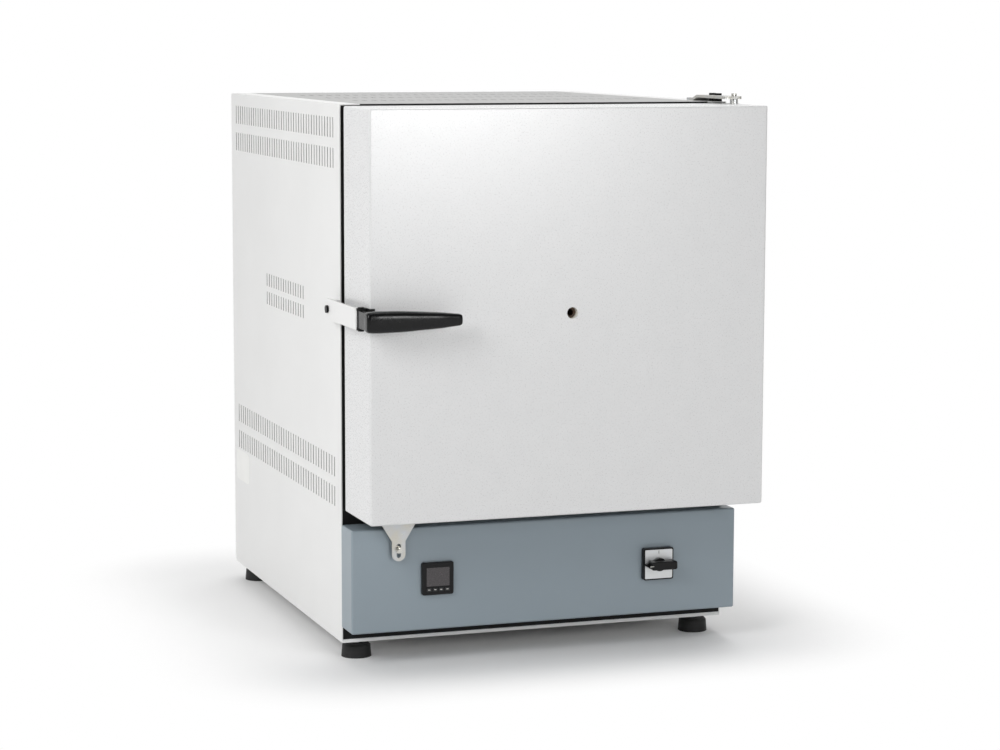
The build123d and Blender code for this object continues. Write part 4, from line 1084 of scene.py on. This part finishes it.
@dataclass
class Studio:
    """Pale floor, softboxes and the camera at the photograph's viewing angle."""

    camera_m: tuple[float, float, float] = (-1.33904, -3.93056, 0.92011)
    yaw_degrees: float = 19.2905
    pitch_degrees: float = 7.402
    roll_degrees: float = -0.1531
    focal_px: float = 2682.97
    picture_px: tuple[int, int] = (1000, 750)
    sensor_mm: float = 36.0
    clip_m: float = 60.0
    floor_radius_m: float = 14.0
    floor_rings: int = 12
    floor_segments: int = 96
    fade_m: tuple[float, float] = (0.06, 0.30)
    room_light: float = 0.22
    backdrop_light: float = 1.0
    backdrop_range: tuple[float, float] = (-0.2, 0.7)

    def build(self) -> None:
        """Set the view transform, and make the room, the lamps and the camera."""
        scene = bpy.context.scene
        scene.view_settings.view_transform = "Standard"
        self.room()
        self.floor()
        for lamp in (
            Softbox("key_softbox", (-2.4, -1.8, 2.0), (0, -0.1, 0.4), 1.5, 1.5, 54),
            Softbox("front_softbox", (0.60, -2.87, 1.05), (-0.1, -0.4, 0.75), 0.6, 0.6, 15),
            Softbox("top_softbox", (0.3, 0.2, 2.8), (0, 0, 0.4), 1.6, 1.6, 22),
        ):
            lamp.build()
        self.camera()

    def room(self) -> None:
        """Make the room: a bright backdrop, a dimmer front, and white where the camera looks on."""
        world = bpy.data.worlds.new("studio_room")
        world.use_nodes = True
        tree = world.node_tree
        tree.nodes.clear()
        rays = add_node(tree, "ShaderNodeLightPath")
        ways = add_node(tree, "ShaderNodeTexCoord")
        parts = add_node(tree, "ShaderNodeSeparateXYZ", None, {0: ways.outputs["Generated"]})
        rise = add_node(
            tree,
            "ShaderNodeMapRange",
            {"interpolation_type": "SMOOTHSTEP"},
            {
                "Value": parts.outputs["Y"],
                "From Min": self.backdrop_range[0],
                "From Max": self.backdrop_range[1],
                "To Min": self.room_light,
                "To Max": self.backdrop_light,
            },
        )
        light, white = (
            add_node(
                tree, "ShaderNodeBackground", None, {"Color": linear("#FFFFFF"), "Strength": strength}
            ).outputs[0]
            for strength in (rise.outputs["Result"], 1.0)
        )
        choice = {0: rays.outputs["Is Camera Ray"], 1: light, 2: white}
        mix = add_node(tree, "ShaderNodeMixShader", None, choice)
        add_node(tree, "ShaderNodeOutputWorld", None, {"Surface": mix.outputs[0]})
        bpy.context.scene.world = world

    def floor(self) -> bpy.types.Object:
        """Lay a round white floor that keeps the shadow near the object and fades to white.

        It is one disc: the points (r sin t, -r cos t, 0) for r from zero to the floor's radius.
        The fade goes by the distance from the casing's plan, |max(|p - middle| - half, 0)|.
        """
        low, high = (Vector(corner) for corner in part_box("base_tray"))
        middle, half = (low + high) / 2, (high - low) / 2
        radii = np.linspace(0, self.floor_radius_m, self.floor_rings)
        turn = np.linspace(0, 2 * np.pi, self.floor_segments, endpoint=False)
        around = np.stack([np.sin(turn), -np.cos(turn), np.zeros_like(turn)], axis=1)
        material, tree, output = new_material("white_studio_floor")
        rays = add_node(tree, "ShaderNodeLightPath")
        seen = calculate(
            tree, "MAXIMUM", rays.outputs["Is Camera Ray"], rays.outputs["Is Glossy Ray"]
        )
        where = add_node(tree, "ShaderNodeTexCoord")
        offset = where.outputs["Object"]
        for operation, other in (
            ("SUBTRACT", (middle.x, middle.y, 0)),
            ("ABSOLUTE", (0, 0, 0)),
            ("SUBTRACT", (half.x, half.y, 0)),
            ("MAXIMUM", (0, 0, 0)),
        ):
            offset = add_node(
                tree, "ShaderNodeVectorMath", {"operation": operation}, {0: offset, 1: other}
            ).outputs["Vector"]
        distance = add_node(tree, "ShaderNodeVectorMath", {"operation": "LENGTH"}, {0: offset})
        fade = add_node(
            tree,
            "ShaderNodeMapRange",
            {"interpolation_type": "SMOOTHSTEP"},
            {"Value": distance.outputs["Value"], "From Min": self.fade_m[0], "From Max": self.fade_m[1]},
        )
        amount = calculate(tree, "MULTIPLY", fade.outputs["Result"], seen)
        matt = {"Base Color": linear("#F4F4F4"), "Roughness": 0.8}
        paper = add_node(tree, "ShaderNodeBsdfPrincipled", None, matt)
        white = add_node(tree, "ShaderNodeEmission", None, {"Color": linear("#FFFFFF")})
        choice = {0: amount, 1: paper.outputs[0], 2: white.outputs[0]}
        mix = add_node(tree, "ShaderNodeMixShader", None, choice)
        tree.links.new(mix.outputs[0], output.inputs["Surface"])
        patch = Patch(radii[:, None, None] * around, ring_columns=True)
        disc = make_piece("studio_floor", [patch], material)
        return disc

    def camera(self) -> bpy.types.Object:
        """Place the camera that was found from the photograph's edges.

        It looks along (sin a cos b, cos a cos b, -sin b) for yaw a and pitch b, rolled about that
        line; the lens is the focal length in pixels times the sensor's width over the picture's.
        """
        a, b, c = (math.radians(v) for v in (self.yaw_degrees, self.pitch_degrees, self.roll_degrees))
        ahead = Vector((math.sin(a) * math.cos(b), math.cos(a) * math.cos(b), -math.sin(b)))
        level = Vector((math.cos(a), -math.sin(a), 0))
        plumb = level.cross(ahead)
        right = math.cos(c) * level - math.sin(c) * plumb
        up = math.sin(c) * level + math.cos(c) * plumb
        lens = bpy.data.cameras.new("photo_camera")
        lens.sensor_width = self.sensor_mm
        lens.lens = self.focal_px * self.sensor_mm / self.picture_px[0]
        lens.clip_end = self.clip_m
        turn = Matrix((right, up, -ahead)).transposed().to_4x4()
        holder = bpy.data.objects.new("photo_camera", lens)
        holder.matrix_world = Matrix.Translation(self.camera_m) @ turn
        bpy.context.scene.collection.objects.link(holder)
        bpy.context.scene.camera = holder
        return holder


def main() -> None:
    """Load the frame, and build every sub-assembly."""
    logging.basicConfig(level=logging.INFO, format="%(message)s")
    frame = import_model()
    shelf = FinishShelf()
    for assembly in (Casing, Chamber, Door, Latch, ControlBox):
        assembly(shelf, frame["nodes"]).build()
    Studio().build()


if __name__ == "__main__":
    main()
